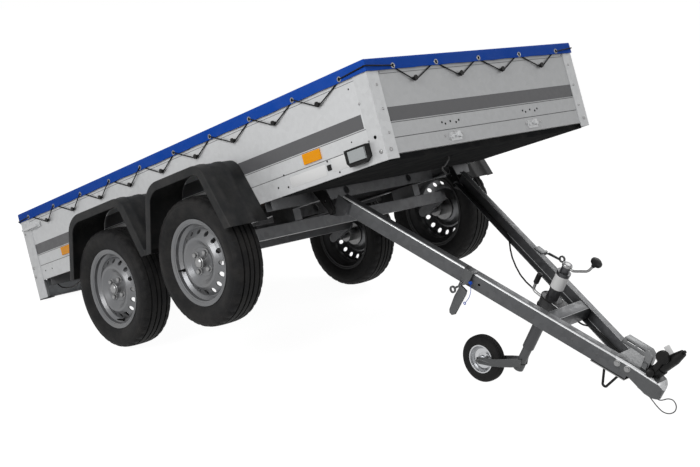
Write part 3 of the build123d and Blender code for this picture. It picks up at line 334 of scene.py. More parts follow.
# %% Finishes
frame_zinc = zinc_sheet("frame_zinc", (100, 101, 103), scale=45, contrast=0.22, patches=0.3, metallic=0.4, dusty=0.1)
arm_zinc = zinc_sheet("arm_zinc", (82, 83, 85), scale=50, contrast=0.2, patches=0.3, metallic=0.5, dusty=0.06)
post_zinc = zinc_sheet("post_zinc", (200, 201, 202), scale=55, contrast=0.08, patches=0.08)
# Pale zinc: the catches' own tone, and a painted highlight on the arms' rounds and on the softened fittings' bevels
# and rims.
pale_zinc_and_highlight = plated("pale_zinc_and_highlight", (214, 215, 216), roughness=0.32, metallic=0.4)
bright_zinc = plated("bright_zinc", (150, 150, 150), roughness=0.27, metallic=0.85)
pressed_zinc = plated("pressed_zinc", (92, 93, 94))
lever_zinc = plated("lever_zinc", (118, 119, 120))
tube_zinc = plated("tube_zinc", (78, 78, 80))
polished_zinc = plated("polished_zinc", (200, 201, 203), roughness=0.16, metallic=0.9)
dull_zinc = plated("dull_zinc", (86, 87, 88), roughness=0.36, metallic=0.6)
dark_steel = plated("dark_steel", (70, 70, 71), roughness=0.4, metallic=0.85)
# The tray finish is near black: painted shade for the underside, which lies in the box's shadow.
tray_painted_shade = moulded("tray_painted_shade", (40, 41, 42), roughness=0.95, scale=50, depth=0.05, dusty=0.1, shine=0.02)
guard_plastic = moulded("guard_plastic", (25, 26, 27), roughness=0.6, scale=500, depth=0.4, dusty=0.07, shine=0.2)
black_plastic = moulded("black_plastic", (11, 11, 12), roughness=0.42, scale=700, depth=0.15, dusty=0.04, shine=0.18)
tyre_rubber = moulded("tyre_rubber", (16, 16, 17), roughness=0.72, scale=600, depth=0.12, dusty=0.06, shine=0.2)
soft_rubber = moulded("soft_rubber", (20, 20, 21), roughness=0.6, scale=500, depth=0.2, dusty=0.08)
lace_black = moulded("lace_black", (12, 12, 14), roughness=0.7, scale=900, depth=0.8, dusty=0.0, shine=0.2)
film_plywood = moulded("film_plywood", (58, 42, 33), roughness=0.8, scale=260, depth=0.5, shine=0.05)
label_white = moulded("label_white", (226, 226, 226), roughness=0.4, depth=0.03, dusty=0.03)
fold_shade = moulded("fold_shade", (112, 113, 114), roughness=0.8, dusty=0.1, shine=0.1)
# Near black for holes and eyelets: painted shade for what lies dark behind them.
painted_hole_shade = moulded("painted_hole_shade", (6, 6, 6), roughness=0.9, dusty=0.0, shine=0.0)
print("materials:", len(bpy.data.materials))

# %% [markdown]
# ## Making pieces
# A new piece is shaped in plain millimetres, in the frame it was measured in, and then one matrix
# takes its mesh to its place on the trailer. The object itself stays at the origin, so that
# patterns find every piece in the same frame.

# %% Piece helpers
def finish_piece(name, bm, place, body, material, slot, stands_for=(), sharp=40):
    """Turns a finished bmesh into a piece that rides on a body."""
    bmesh.ops.transform(bm, matrix=place, verts=bm.verts)
    mesh = bpy.data.meshes.new(name)
    bm.to_mesh(mesh)
    bm.free()
    mesh.materials.append(material)
    mesh.shade_smooth()
    mesh.set_sharp_from_angle(angle=radians(sharp))
    piece = new_object(name, mesh)
    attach(piece, body)
    if stands_for:
        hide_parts(*stands_for)
    return piece


def on_box(name, bm, *finish, **more):
    return finish_piece(name, bm, box_place, "box", *finish, **more)


def on_drawbar(name, bm, *finish, **more):
    return finish_piece(name, bm, drawbar_place, "drawbar", *finish, **more)


def round_off(bm, edges, by, segments=2):
    """Bevels the edges, and gives the new faces."""
    return bmesh.ops.bevel(bm, geom=edges, offset=by, segments=segments, profile=0.5, affect="EDGES", material=-1,
                           clamp_overlap=True)["faces"]


def add_block(bm, low, high, round_by=0.0):
    """A block between two corners, with its edges rounded."""
    size = [abs(b - a) for a, b in zip(low, high)]
    centre = Vector([(a + b) / 2 for a, b in zip(low, high)])
    made = bmesh.ops.create_cube(bm, size=1.0, matrix=Matrix.Translation(centre) @ Matrix.Diagonal((*size, 1)))
    if round_by:
        round_off(bm, list(dict.fromkeys(e for v in made["verts"] for e in v.link_edges)), round_by)


def add_prism(bm, outline, push):
    """A solid with the outline for its end, pushed along a vector."""
    end = bm.faces.new([bm.verts.new(p) for p in outline])
    grown = bmesh.ops.extrude_face_region(bm, geom=[end])["geom"]
    bmesh.ops.translate(bm, verts=[g for g in grown if isinstance(g, bmesh.types.BMVert)], vec=push)


def cut_across(bm, axis, places):
    """Cuts everything so far in slices: along X for axis 0, Y for 1, Z for 2."""
    along = Matrix.Identity(3)[axis]
    for place in places:
        bmesh.ops.bisect_plane(bm, geom=bm.verts[:] + bm.edges[:] + bm.faces[:], plane_co=along * place,
                               plane_no=along)


def aim(place, direction):
    """A matrix at place whose Z looks along direction."""
    return Matrix.Translation(Vector(place)) @ Vector(direction).to_track_quat("Z", "Y").to_matrix().to_4x4()


def add_turned(bm, profile, place, direction, steps=24):
    """A turned shape: (radius, height) rows spun about direction, closed where they meet the axis."""
    turn = aim(place, direction)
    verts = [bm.verts.new(turn @ Vector((r, 0, h))) for r, h in profile]
    edges = [bm.edges.new(pair) for pair in zip(verts, verts[1:])]
    axis_dir = (turn.to_3x3() @ Vector((0, 0, 1))).normalized()
    before = set(bm.verts) - set(verts)
    bmesh.ops.spin(bm, geom=verts + edges, cent=Vector(place), axis=axis_dir, angle=2 * pi, steps=steps,
                   use_merge=True)
    made = [v for v in bm.verts if v not in before]
    bmesh.ops.remove_doubles(bm, verts=made, dist=0.001)
    made = [v for v in bm.verts if v not in before]
    bmesh.ops.recalc_face_normals(bm, faces=list(dict.fromkeys(f for v in made for f in v.link_faces)))
    return made


def add_bolt(bm, radius, height, place, direction, steps=14):
    """A domed bolt head."""
    dome = [(radius, height * 0.35), (radius * 0.8, height * 0.8), (radius * 0.4, height)]
    add_turned(bm, [(0, 0), (radius, 0)] + dome + [(0, height)], place, direction, steps)


def slot_of(node):
    return {s["node"]: s["material_slot"] for s in frame["record"]["subparts"]}[node]


sides = ((1, "left"), (-1, "right"))

# %% [markdown]
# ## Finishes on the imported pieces
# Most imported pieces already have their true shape: the sheets, beams, arms and brackets. They only
# need a finish, which goes straight into the node's own material slots.

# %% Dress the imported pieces
def dress(names, material):
    for name in names:
        mesh = nodes[name].data
        mesh.materials.clear()
        mesh.materials.append(material)


dress(["corner_posts", "tailgate_panel"], post_zinc)
dress(["long_rails", "cross_members", "gate_hinges_fixed", "axle_front", "axle_rear"], frame_zinc)
# The tray and the hinge brackets under the box take painted shade.
dress(["front_tray", "hinge_brackets"], tray_painted_shade)
dress(["hinge_plates", "tailgate_hinges"], arm_zinc)
dress(["coupling_fixings"], bright_zinc)
dress(["box_catches"], pale_zinc_and_highlight)
dress(["jockey_outer_tube"], tube_zinc)
dress(["jockey_rim"], polished_zinc)
dress(["jockey_leg_tube"], dull_zinc)
dress([n for n in nodes if n.startswith("hub_")], bright_zinc)
dress(["lacing_buttons", "marker_housings", "plug_holder", "plug", "jockey_crank", "support_strap"], black_plastic)
dress(["lacing_cord"], lace_black)
dress(["box_wiring", "drawbar_cable"], soft_rubber)
dress(["floor_panel"], film_plywood)
print("dressed", sum(1 for o in nodes.values() if o.data.materials), "nodes")

# %% [markdown]
# ## Walls with a painted band
# The box walls are bright zinc sheet with one dark band, printed flat on the metal. A band has no
# thickness, so it belongs in the material: a mask that is 1 inside four limits, measured in the
# box's own directions. The effect is a group, because three walls use it with other limits.

# %% Band effect and wall finishes
band_low, band_high = 0.298, 0.351

band, given, gives = new_effect("printed_band", ("Mask",), Along=0.0, Height=0.0, Start=-1.0, End=1.0, Low=band_low,
                                High=band_high)
inside = maths(band, "GREATER_THAN", given["Along"], given["Start"])
for value, limit, sense in (("Along", "End", "LESS_THAN"), ("Height", "Low", "GREATER_THAN"),
                            ("Height", "High", "LESS_THAN")):
    inside = maths(band, "MULTIPLY", inside, maths(band, sense, given[value], given[limit]))
feed(gives, Mask=inside)


def banded_wall(name, tone, axis, start, end):
    material, tree, shader = new_material(name)
    point = box_point(tree)
    parts = parts_of(tree, point)
    coat = effect(tree, spangle, Vector=point, Color=sheen_of(*tone), Scale=60.0, Contrast=0.05, Patches=0.06)
    mask = effect(tree, band, Along=parts[axis], Height=parts["Z"], Start=start, End=end)["Mask"]
    feed(shader, Base_Color=mixed(tree, mask, coat["Color"], sheen_of(86, 86, 88)), Roughness=coat["Roughness"],
         Normal=coat["Normal"], Metallic=ramp(tree, mask, 0, 1, 0.3, 0.0))
    return material


side_sheet = banded_wall("side_sheet", (206, 207, 208), "X", -1.0, 1.640)
# The front wall takes a darker tone of the same sheet: painted shade for the front, which gets less light.
front_sheet = banded_wall("front_sheet", (176, 177, 178), "Y", -0.580, 0.580)
dress(["side_wall_left", "side_wall_right"], side_sheet)
dress(["front_wall"], front_sheet)
print("band from", band_low, "to", band_high, "m above the rear axle")

# %% [markdown]
# ## Lamps and reflectors
# Amber reflectors are moulded in tiny prisms, the marker lamps have a clear lens in a black
# housing, and the rear lamps are red. A fine prism pattern in the bump does for all three.

# %% Lenses
def lens(name, tone, scale=900.0):
    material, tree, shader = new_material(name)
    prisms = effect(tree, grain, Vector=box_point(tree), Scale=scale, Depth=0.5)
    feed(shader, Base_Color=mixed(tree, prisms["Height"], sheen_of(*tone), sheen_of(*[v * 0.9 for v in tone])),
         Normal=prisms["Normal"], Roughness=0.22, Specular_IOR_Level=0.15)
    return material


amber_lens = lens("amber_lens", (255, 166, 0))
clear_lens = lens("clear_lens", (180, 184, 185), scale=500.0)
red_lens = lens("red_lens", (170, 16, 14))
dress(["side_reflectors"], amber_lens)
dress(["marker_lenses"], clear_lens)
dress(["rear_lamps"], red_lens)

# %% [markdown]
# ## Rear beam with rubber feet
# The beam's node holds the two rubber pads under the rear posts too. The pads lie below the
# beam's own edge, so the finish tells them apart by height.

# %% Rear beam finish
pad_top = 0.0712


def beam_with_pads():
    material, tree, shader = new_material("beam_with_pads")
    coat = effect(tree, spangle, Vector=object_point(tree), Color=sheen_of(150, 152, 155), Scale=45.0, Contrast=0.2,
                  Patches=0.3)
    pad = maths(tree, "LESS_THAN", parts_of(tree, box_point(tree))["Z"], pad_top)
    feed(shader, Base_Color=mixed(tree, pad, coat["Color"], sheen_of(24, 24, 25)), Normal=coat["Normal"],
         Metallic=ramp(tree, pad, 0, 1, 0.45, 0.0), Roughness=0.55)
    return material


dress(["rear_beam"], beam_with_pads())

# %% [markdown]
# ## Road tyres
# A 13 inch tyre is a turned shape: its section is drawn once, from bead to bead, and spun. Four
# grooves run round the tread. The shoulders also have cross grooves, which a spin can't make, so
# every fourth step of the spin has its shoulder corners pulled in.

# %% Tyre section and spin
half_section = [(55, 177), (60, 184), (62, 190), (65.5, 194), (66.3, 198), (70.5, 206), (74.5, 218), (76.2, 230),
                (75.6, 240), (72.5, 249), (73.2, 251), (70.5, 258), (66, 264.5), (60, 268.5)]
tread_rows = [(53, 270.6), (44, 271.9), (43, 265.5), (37, 265.8), (36, 272.6), (15.5, 273.4), (14.5, 266.6),
              (8.5, 266.6), (7.5, 273.5)]
tread_steps = 144
shoulder_radius, shoulder_y, shoulder_cut = 263, 50, 5.5


def tyre_mesh(bm):
    outer = half_section + tread_rows
    rows = [(r, y) for y, r in outer] + [(r, -y) for y, r in reversed(outer)] + [(177, -40), (177, 40)]
    made = add_turned(bm, rows + rows[:1], (0, 0, 0), (0, 1, 0), steps=tread_steps)
    step = 2 * pi / tread_steps
    for v in made:
        radius = (v.co.x ** 2 + v.co.z ** 2) ** 0.5
        on_groove = round(atan2(v.co.z, v.co.x) / step) % 4 == 0
        if radius > shoulder_radius and abs(v.co.y) > shoulder_y and on_groove:
            v.co.x *= (radius - shoulder_cut) / radius
            v.co.z *= (radius - shoulder_cut) / radius


# Each wheel's side of the trailer, and the angle of its valve in degrees.
wheels = {"front_left": (1, 200), "front_right": (-1, 184), "rear_left": (1, 265), "rear_right": (-1, 262)}


def middle_of(node):
    """Millimetres about the middle of a node's box, to its place on the trailer."""
    low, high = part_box(node)
    return Matrix.Translation((Vector(low) + Vector(high)) / 2) @ millimetre


for corner in wheels:
    bm = bmesh.new()
    tyre_mesh(bm)
    finish_piece("road_tyre_" + corner, bm, middle_of("tyre_" + corner), "wheel_" + corner, tyre_rubber, "tyre",
                 ["tyre_" + corner], sharp=32)

# %% [markdown]
# ## Mudguards
# Each side has one moulded guard in grained black plastic: two arches that meet in a foot between
# the wheels. Such a moulding is the same section all along its arch, so the section is drawn once,
# as a closed loop with the lip, the rounded shoulder and the two raised ribs, and is carried along
# the arch. Each corner of the arch is rounded first.

# %% Mudguard
rear_arch = [(-293, 95, 0), (-190, 340, 36), (-123, 378, 36), (277, 378, 60), (378, 95, 0)]
front_arch = [(378, 95, 0), (479, 340, 34), (540, 378, 34), (888, 378, 60), (993, 95, 0)]
guard_section = [(835, 37), (835, 7), (834, 3), (831.5, 0.8), (828, 0), (800, 0), (796, -3), (780, -3), (776, 0),
                 (716, 0), (712, -3), (696, -3), (692, 0), (639.5, 0), (639.5, 3.2), (828, 3.2), (830, 4),
                 (831, 7), (831.5, 37)]
guard_foot = ((371, 95), (385, 95), (390, 119), (366, 119))
guard_inside, foot_width, end_stretch = 640, 194.6, 1.08


def rounded_path(corners, pieces=7):
    """Points along straight runs, with each corner replaced by a smooth bend of the given reach."""
    path = []
    for k, (*place, reach) in enumerate(corners):
        here = Vector(place)
        if not reach:
            path.append(here)
            continue
        a = here + (Vector(corners[k - 1][:-1]) - here).normalized() * reach
        b = here + (Vector(corners[(k + 1) % len(corners)][:-1]) - here).normalized() * reach
        path += [a.lerp(here, t / pieces).lerp(here.lerp(b, t / pieces), t / pieces) for t in range(pieces + 1)]
    return path


def carried_along(bm, path, section, side):
    """Carries a section of (distance out, depth under the path) along a path, and closes the ends."""
    loops = []
    for k, here in enumerate(path):
        before = (here - path[k - 1]).normalized() if k else (path[1] - here).normalized()
        after = (path[k + 1] - here).normalized() if k < len(path) - 1 else before
        mean = (before + after).normalized()
        inward = Vector((mean.y, -mean.x)) / max(0.5, mean.dot(before))
        if k in (0, len(path) - 1):
            inward = Vector((1 if k == 0 else -1, 0)) * end_stretch
        loops.append([bm.verts.new((here.x + inward.x * d, side * y, here.y + inward.y * d)) for y, d in section])
    rings = [[bm.edges.new((loop[k - 1], loop[k])) for k in range(len(loop))] for loop in loops]
    for first, second in zip(rings, rings[1:]):
        bmesh.ops.bridge_loops(bm, edges=first + second)
    for loop in (loops[0], loops[-1]):
        bm.faces.new(loop)


def mudguard(bm, side):
    for arch in (rear_arch, front_arch):
        carried_along(bm, rounded_path(arch), guard_section, side)
    add_prism(bm, [(x, side * guard_inside, z) for x, z in guard_foot], (0, side * foot_width, 0))
    bmesh.ops.recalc_face_normals(bm, faces=bm.faces)


for side, word in sides:
    bm = bmesh.new()
    mudguard(bm, side)
    guard = on_box("moulded_guard_" + word, bm, guard_plastic, slot_of("mudguard_" + word), ["mudguard_" + word],
                   sharp=50)
    print("guard", word, [round(v, 3) for v in guard.dimensions])

# %% [markdown]
# ## Flat cover
# The cover is one sheet of coated cloth, stretched over the box and folded down 45 mm at the sides
# and the front. It starts as a block: the underside and the back go, the edges are rounded, and the
# top and the skirts are cut into strips so that they can sag and ripple a little. The cloth is
# pulled in at each eyelet and stands off between them.

# %% Cover
cloth_rear, cloth_front, cloth_side = -980.6, 1727.1, 645.1
cloth_hem, cloth_top, cloth_drop = 488.0, 533.6, 45
strip = 30
sag, push, lift = 1.2, 1.6, 1.3
edge_fade, side_reach, front_reach = 260, 130, 120
eyelet_height = 500.0
side_eyelets = [1587.0 - k * 273.5 for k in range(10)]
front_eyelets = (-499.0, -257.0, 1.0, 268.0, 528.0)


def blue_cloth():
    material, tree, shader = new_material("blue_cloth")
    cloth = effect(tree, weave, Vector=box_point(tree), Color=sheen_of(0, 68, 166), Threads=420.0, Fade=0.04)
    feed(shader, Base_Color=cloth["Color"], Normal=cloth["Normal"], Roughness=0.65, Specular_IOR_Level=0.12)
    return material


cover_blue = blue_cloth()


def nearest(value, places):
    return min(abs(value - p) for p in places)


def cover_cloth(bm):
    add_block(bm, (cloth_rear, -cloth_side, cloth_hem), (cloth_front, cloth_side, cloth_top))
    bmesh.ops.delete(bm, geom=[f for f in bm.faces if min(f.normal.z, f.normal.x) < -0.9], context="FACES")
    round_off(bm, [e for e in bm.edges if len(e.link_faces) == 2], 5, segments=3)
    cut_across(bm, 0, [cloth_rear + k * strip for k in range(1, 90)])
    cut_across(bm, 1, [k * strip for k in range(-21, 22)])
    cut_across(bm, 2, (492, 500, 510, 520))
    for v in bm.verts:
        x, y, z = v.co
        if z > cloth_top - 0.5:
            edge_way = min(1.0, min(cloth_front - x, cloth_side - abs(y)) / edge_fade)
            v.co.z += sag * sin(x * 0.021 + 0.4 * sin(y * 0.013)) * max(0.0, edge_way)
        elif abs(y) > cloth_side - 1:
            free = min(1.0, nearest(x, side_eyelets) / side_reach) * (cloth_top - z) / cloth_drop
            v.co.y += (push * free * (0.6 + 0.4 * sin(x * 0.047))) * (1 if y > 0 else -1)
            v.co.z += lift * free * sin(x * 0.031)
        elif x > cloth_front - 1:
            free = min(1.0, nearest(y, front_eyelets) / front_reach) * (cloth_top - z) / cloth_drop
            v.co.x += push * free * (0.6 + 0.4 * sin(y * 0.051))
            v.co.z += lift * free * sin(y * 0.037 + 1)
    bmesh.ops.recalc_face_normals(bm, faces=bm.faces)
    top = max(bm.faces, key=lambda f: f.calc_center_median().z)
    if top.normal.z < 0:
        bmesh.ops.reverse_faces(bm, faces=bm.faces)
    bmesh.ops.solidify(bm, geom=bm.faces[:], thickness=2.0)


bm = bmesh.new()
cover_cloth(bm)
cover = on_box("cover_cloth", bm, cover_blue, "cover", ["cover"], sharp=60)

# %% Eyelets and rear flap
eyelet_ring = [(6.2, 0), (10.8, 0), (10.34, 1.26), (8.5, 1.8), (6.89, 1.35), (6.2, 0)]
eyelet_hole = [(0, 0.2), (6.4, 0.2), (6.4, 0), (0, 0)]


def at_eyelets(bm, profile, proud, steps):
    """The same turned shape at every eyelet, standing proud of the cloth."""
    for place, side in product(side_eyelets, (1, -1)):
        add_turned(bm, profile, (place, side * (cloth_side + proud), eyelet_height), (0, side, 0), steps)
    for place in front_eyelets:
        add_turned(bm, profile, (cloth_front + proud, place, eyelet_height), (1, 0, 0), steps)


bm = bmesh.new()
at_eyelets(bm, eyelet_ring, 0.4, 20)
eyelet_rings = on_box("cover_eyelets", bm, bright_zinc, "zinc")
# Each eyelet's hole is a dark disc of painted shade.
bm = bmesh.new()
at_eyelets(bm, eyelet_hole, 0.3, 16)
eyelet_darks = on_box("cover_eyelet_holes", bm, painted_hole_shade, "cover")

bm = bmesh.new()
add_block(bm, (-986.6, -619, 489), (-981.6, 619, 524), round_by=1.5)
cut_across(bm, 1, [k * strip for k in range(-20, 21)])
rear_flap = finish_piece("cover_flap_cloth", bm, box_place, "tailgate", cover_blue, "cover", ["cover_rear_flap"])

# %% [markdown]
# ## Free cords
# Two cords hang free on the drawbar: the steel safety cable under the nose, and a thin cord with a
# ring on the right clamp. A free cord is one smooth curve through a few points, and its bevel gives
# it its thickness. The points are measured from the hinge pin.

# %% Free cords
def round_curve(name, kind, points, radius):
    """A curve with one spline through the points and a round section."""
    data = bpy.data.curves.new(name, "CURVE")
    data.dimensions = "3D"
    data.resolution_u = 8
    data.bevel_depth = radius
    data.bevel_resolution = 3
    data.use_fill_caps = True
    line = data.splines.new(kind)
    line.points.add(len(points) - 1)
    for target, point in zip(line.points, points):
        target.co = (*point, 1)
    return data


def cord_curve(name, points, diameter, material, node):
    data = round_curve(name, "NURBS", [drawbar_place @ Vector(p) for p in points], diameter / 2)
    data.splines[0].order_u = 3
    data.splines[0].use_endpoint_u = True
    data.materials.append(material)
    curve = new_object(name, data)
    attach(curve, "drawbar")
    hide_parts(node)
    return curve


steel_rope = plated("steel_rope", (92, 93, 94), roughness=0.4, metallic=0.7)
blue_cord = moulded("blue_cord", (12, 78, 190), roughness=0.6, scale=900, depth=0.6, dusty=0.0)
safety_loop = (
    (1349.5, 27.7, -17), (1373, 30, -22), (1398, 28, -29), (1424, 22, -32), (1452, 12, -28), (1477, 4, -12),
    (1492, 1, 12), (1487, 0, 37), (1465, 0, 49), (1444, 1, 37), (1430, 6, 16), (1416, 17, 0), (1397, 29, -10),
    (1374, 34, -15.5), (1349.5, 32.9, -17))
safety_cable = cord_curve("safety_cable_line", safety_loop, 0.0045, steel_rope, "safety_cable")

arm_slope, nose_ahead, nose_half_width = 0.2702, 1383.6, 25.6


def arm_face(a):
    """Distance of an arm's outer face from the middle, at a distance a ahead of the pin."""
    return nose_half_width + arm_slope * (nose_ahead - a)


clamp_y = -(arm_face(610) + 9)
clamp_cord_route = [(a, clamp_y, b) for a, b in ((640.9, 40.6), (650, 28), (656, 11), (658, -7), (656, -23),
                                                 (651.9, -36.4))]
clamp_cord = cord_curve("clamp_cord_line", clamp_cord_route, 0.0025, blue_cord, "clamp_cord")


def add_ring(bm, radius, thick, high, place, direction, steps):
    """A ring whose section is an oval of eight corners."""
    rows = [(radius + thick * cos(k * pi / 4), high * sin(k * pi / 4)) for k in range(8)]
    add_turned(bm, rows + rows[:1], place, direction, steps)


# The knot that holds the cord, with two turns round it, and the small ring on its end.
bm = bmesh.new()
knot = Vector((637, clamp_y, 46))
bmesh.ops.create_uvsphere(bm, u_segments=16, v_segments=10, radius=6.2, matrix=Matrix.Translation(knot))
for turn, tilt in ((-2.4, 0.3), (2.4, -0.3)):
    add_ring(bm, 6.1, 1.3, 1.3, knot + Vector((turn * 0.8, 0, turn)), (0.4, tilt, 1), 20)
add_ring(bm, 4.75, 1.75, 1.5, (650, clamp_y, -43), (0, 1, 0), 24)
clamp_cord_ends = on_drawbar("clamp_cord_ends", bm, blue_cord, "blue_cord")
print("cords placed")

# %% [markdown]
# ## Drawbar arms
# Each arm is a cold-rolled channel, so its outer corners are round. The upper outer round carries a
# painted highlight in pale zinc, for the bright line the lamps draw there. The section is drawn with
# its corners rounded and pushed along the arm. A hole in it looks dark from outside, because the
# inside of a channel gets no light, so a dark disc of painted shade stands for it. Two flat rivet
# heads in dull metal come further forward.

# %% Arms
arm_start, arm_end, arm_lift = 22.0, 1287.0, 50.0
arm_turn = atan2(arm_slope, 1.0)
arm_length = (arm_end - arm_start) / cos(arm_turn)


def arm_matrix(side):
    """Millimetres along, out from and up an arm's outer face, to the drawbar's frame."""
    turn = Matrix.Translation((arm_start, arm_face(arm_start), arm_lift)) @ Matrix.Rotation(-arm_turn, 4, "Z")
    return Matrix.Diagonal((1, side, 1, 1)) @ turn


channel = [(0, -33.5, 9), (0, 33.5, 10), (-36, 33.5, 1), (-36, 30.5, 1), (-3, 30.5, 3), (-3, -30.5, 3),
           (-36, -30.5, 1), (-36, -33.5, 1)]
for side, word in sides:
    bm = bmesh.new()
    add_prism(bm, [(0, y, z) for y, z in rounded_path(channel, pieces=4)], (arm_length, 0, 0))
    bmesh.ops.transform(bm, matrix=arm_matrix(side), verts=bm.verts)
    bmesh.ops.recalc_face_normals(bm, faces=bm.faces)
    # Faces that slope up and out on the arm's upper rounds take pale zinc as a painted highlight.
    for face in bm.faces:
        if face.normal.z > 0.15 and abs(face.normal.y) > 0.15 and abs(face.calc_center_median().y) > 20:
            face.material_index = 1
    arm = on_drawbar("channel_arm_" + word, bm, arm_zinc, slot_of("arm_" + word), ["arm_" + word], sharp=35)
    arm.data.materials.append(pale_zinc_and_highlight)

for name, places, material in (("arm_holes", (663.0,), painted_hole_shade), ("arm_rivets", (1060.0, 1161.0), dull_zinc)):
    bm = bmesh.new()
    for side, a in product((1, -1), places):
        run = (a - arm_start) / cos(arm_turn)
        spot = arm_matrix(side) @ Vector((run, -0.1, 0))
        out = (arm_matrix(side) @ Vector((run, 1, 0)) - spot).normalized()
        add_turned(bm, [(0, 0.6), (4.6, 0.6), (5.2, 0.2), (5.2, 0), (0, 0)], spot, out, steps=20)
    on_drawbar(name, bm, material, "galvanised_arm")
print("arms", round(arm_length), "mm long")

# %% [markdown]
# ## Pressed and forged fittings
# Sharp corners make metal look like paper. On the coupling, the clamps and the fork every corner is
# a little round, and the round faces take pale zinc as a painted highlight. A copy of the imported
# piece is merged, its flat faces joined, and its corner edges bevelled, which keeps the size and adds
# the painted highlight lines. The coupling's shell is already round there, so its faces that slope
# upwards get the pale zinc as a painted highlight.

# %% Softened fittings
corner_angle, shortest_edge = radians(35), 0.004


def softened(node, name, body, material, size, rim=None):
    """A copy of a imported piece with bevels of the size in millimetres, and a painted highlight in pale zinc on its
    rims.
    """
    bm = bmesh.new()
    bm.from_mesh(nodes[node].data)
    bmesh.ops.remove_doubles(bm, verts=bm.verts, dist=0.00002)
    bmesh.ops.dissolve_limit(bm, angle_limit=radians(2), verts=bm.verts, edges=bm.edges)
    bmesh.ops.recalc_face_normals(bm, faces=bm.faces)
    edges = [e for e in bm.edges if len(e.link_faces) == 2 and e.calc_face_angle(0) > corner_angle
             and e.calc_length() > shortest_edge]
    # The new bevel faces, or with rim the faces that slope upwards, take pale zinc: a painted highlight.
    bright = round_off(bm, edges, size / 1000)
    if rim:
        upward = (drawbar_place.to_3x3() @ Vector((0, 0, 1))).normalized()
        bright = [f for f in bm.faces if rim[0] < f.normal.dot(upward) < rim[1]]
    for face in bright:
        face.material_index = 1
    piece = finish_piece(name, bm, Matrix.Identity(4), body, material, slot_of(node), [node], sharp=50)
    piece.data.materials.append(pale_zinc_and_highlight)
    return piece


softened("coupling_head", "coupling_shell", "drawbar", pressed_zinc, 3.0, rim=(0.25, 0.93))
softened("coupling_handle", "coupling_lever", "drawbar", lever_zinc, 3.0)
softened("toggle_clamps", "side_clamps", "drawbar", pressed_zinc, 1.2)
softened("crossbar", "cross_piece", "drawbar", arm_zinc, 1.2)
softened("jockey_fork", "wheel_fork", "jockey_fork", dull_zinc, 1.2)
softened("jockey_clamp", "tube_clamp", "drawbar", dark_steel, 1.6)
print("softened copies made")

# %% [markdown]
# ## Wheels up close
# A steel wheel is silver outside, and inside its barrel it is darkened with painted shade, so the
# finish changes with the distance from the middle of the trailer. Over each hub go a domed grease cap,
# four flanged wheel bolts, and a rubber valve through the barrel.

# %% Wheel finish
barrel_shade_full, barrel_shade_gone = 0.735, 0.758


def wheel_finish():
    material, tree, shader = new_material("wheel_paint")
    point = box_point(tree)
    across = maths(tree, "ABSOLUTE", parts_of(tree, point)["Y"])
    # Inside the barrel the colour turns dark: painted shade.
    inside = ramp(tree, across, barrel_shade_full, barrel_shade_gone, 1, 0)
    paint = effect(tree, spangle, Vector=point, Color=sheen_of(110, 111, 113), Scale=900.0, Contrast=0.08,
                   Patches=0.12)["Color"]
    dirty = effect(tree, dust, Vector=point, Color=paint, Amount=0.15)["Color"]
    feed(shader, Base_Color=mixed(tree, inside, dirty, sheen_of(40, 40, 41)),
         Roughness=ramp(tree, inside, 0, 1, 0.34, 0.7), Metallic=ramp(tree, inside, 0, 1, 0.55, 0.0))
    return material


dress([n for n in nodes if n.startswith("rim_")], wheel_finish())
bolt_circle, bolt_seat = 49, 34.2


def add_hexagon(bm, radius, height, place, direction):
    """A bolt head: a flange, and a hexagon with its top corners cut off."""
    add_turned(bm, [(0, 0), (radius * 1.3, 0), (radius * 1.3, 2), (radius, 3.5), (0, 3.5)], place, direction, steps=20)
    turn = aim(place, direction)
    for low, high, top_radius in ((3, height - 2, radius), (height - 2.1, height, radius * 0.86)):
        bmesh.ops.create_cone(bm, cap_ends=True, segments=6, radius1=radius, radius2=top_radius, depth=high - low,
                              matrix=turn @ Matrix.Translation((0, 0, (low + high) / 2)))


grease_cap = [(0, 33), (22.8, 33), (22.8, 50), (24.2, 51), (24.2, 53.5), (22.4, 55), (21, 61), (16, 66), (8, 68.4),
              (0, 69)]
for corner, (side, valve_turn) in wheels.items():
    centre = (box_place.inverted() @ middle_of("tyre_" + corner)).translation
    bm = bmesh.new()
    add_turned(bm, grease_cap, centre, (0, side, 0), steps=32)
    for k in range(4):
        angle = pi * (k + 0.5) / 2
        spot = centre + Vector((bolt_circle * cos(angle), side * bolt_seat, bolt_circle * sin(angle)))
        add_hexagon(bm, 10.5, 15, spot, (0, side, 0))
    finish_piece("wheel_bolts_" + corner, bm, box_place, "wheel_" + corner, bright_zinc, "zinc", sharp=30)
    bm = bmesh.new()
    along = Vector((cos(radians(valve_turn)), 0, sin(radians(valve_turn))))
    root = centre + along * 149 + Vector((0, side * 30, 0))
    add_turned(bm, [(0, 0), (7, 0), (7.4, 3), (4.6, 8), (4.2, 26), (3.4, 28), (3.8, 29), (3.8, 36), (0, 37)], root,
               Vector((0, side, 0)) - along * 0.25, steps=14)
    finish_piece("valve_" + corner, bm, box_place, "wheel_" + corner, black_plastic, "black_plastic")
print("four wheels fitted")

# %% [markdown]
# ## Jockey wheel up close
# The jockey wheel has a small ribbed tyre, a crank with a mushroom knob, a blank sleeve label on
# its tube and a black grip on the clamp's handle. The crank and the clamp's handle are bent round
# bar: a curve with a bevel, made a mesh.

# %% Jockey wheel pieces
def add_wire(bm, corners, radius):
    """Round bar through (x, y, z, bend reach) corners."""
    data = round_curve("bar", "POLY", rounded_path(corners), radius)
    bar = bpy.data.objects.new("bar", data)
    mesh = bpy.data.meshes.new_from_object(bar)
    bm.from_mesh(mesh)
    for block, store in ((bar, bpy.data.objects), (data, bpy.data.curves), (mesh, bpy.data.meshes)):
        store.remove(block)


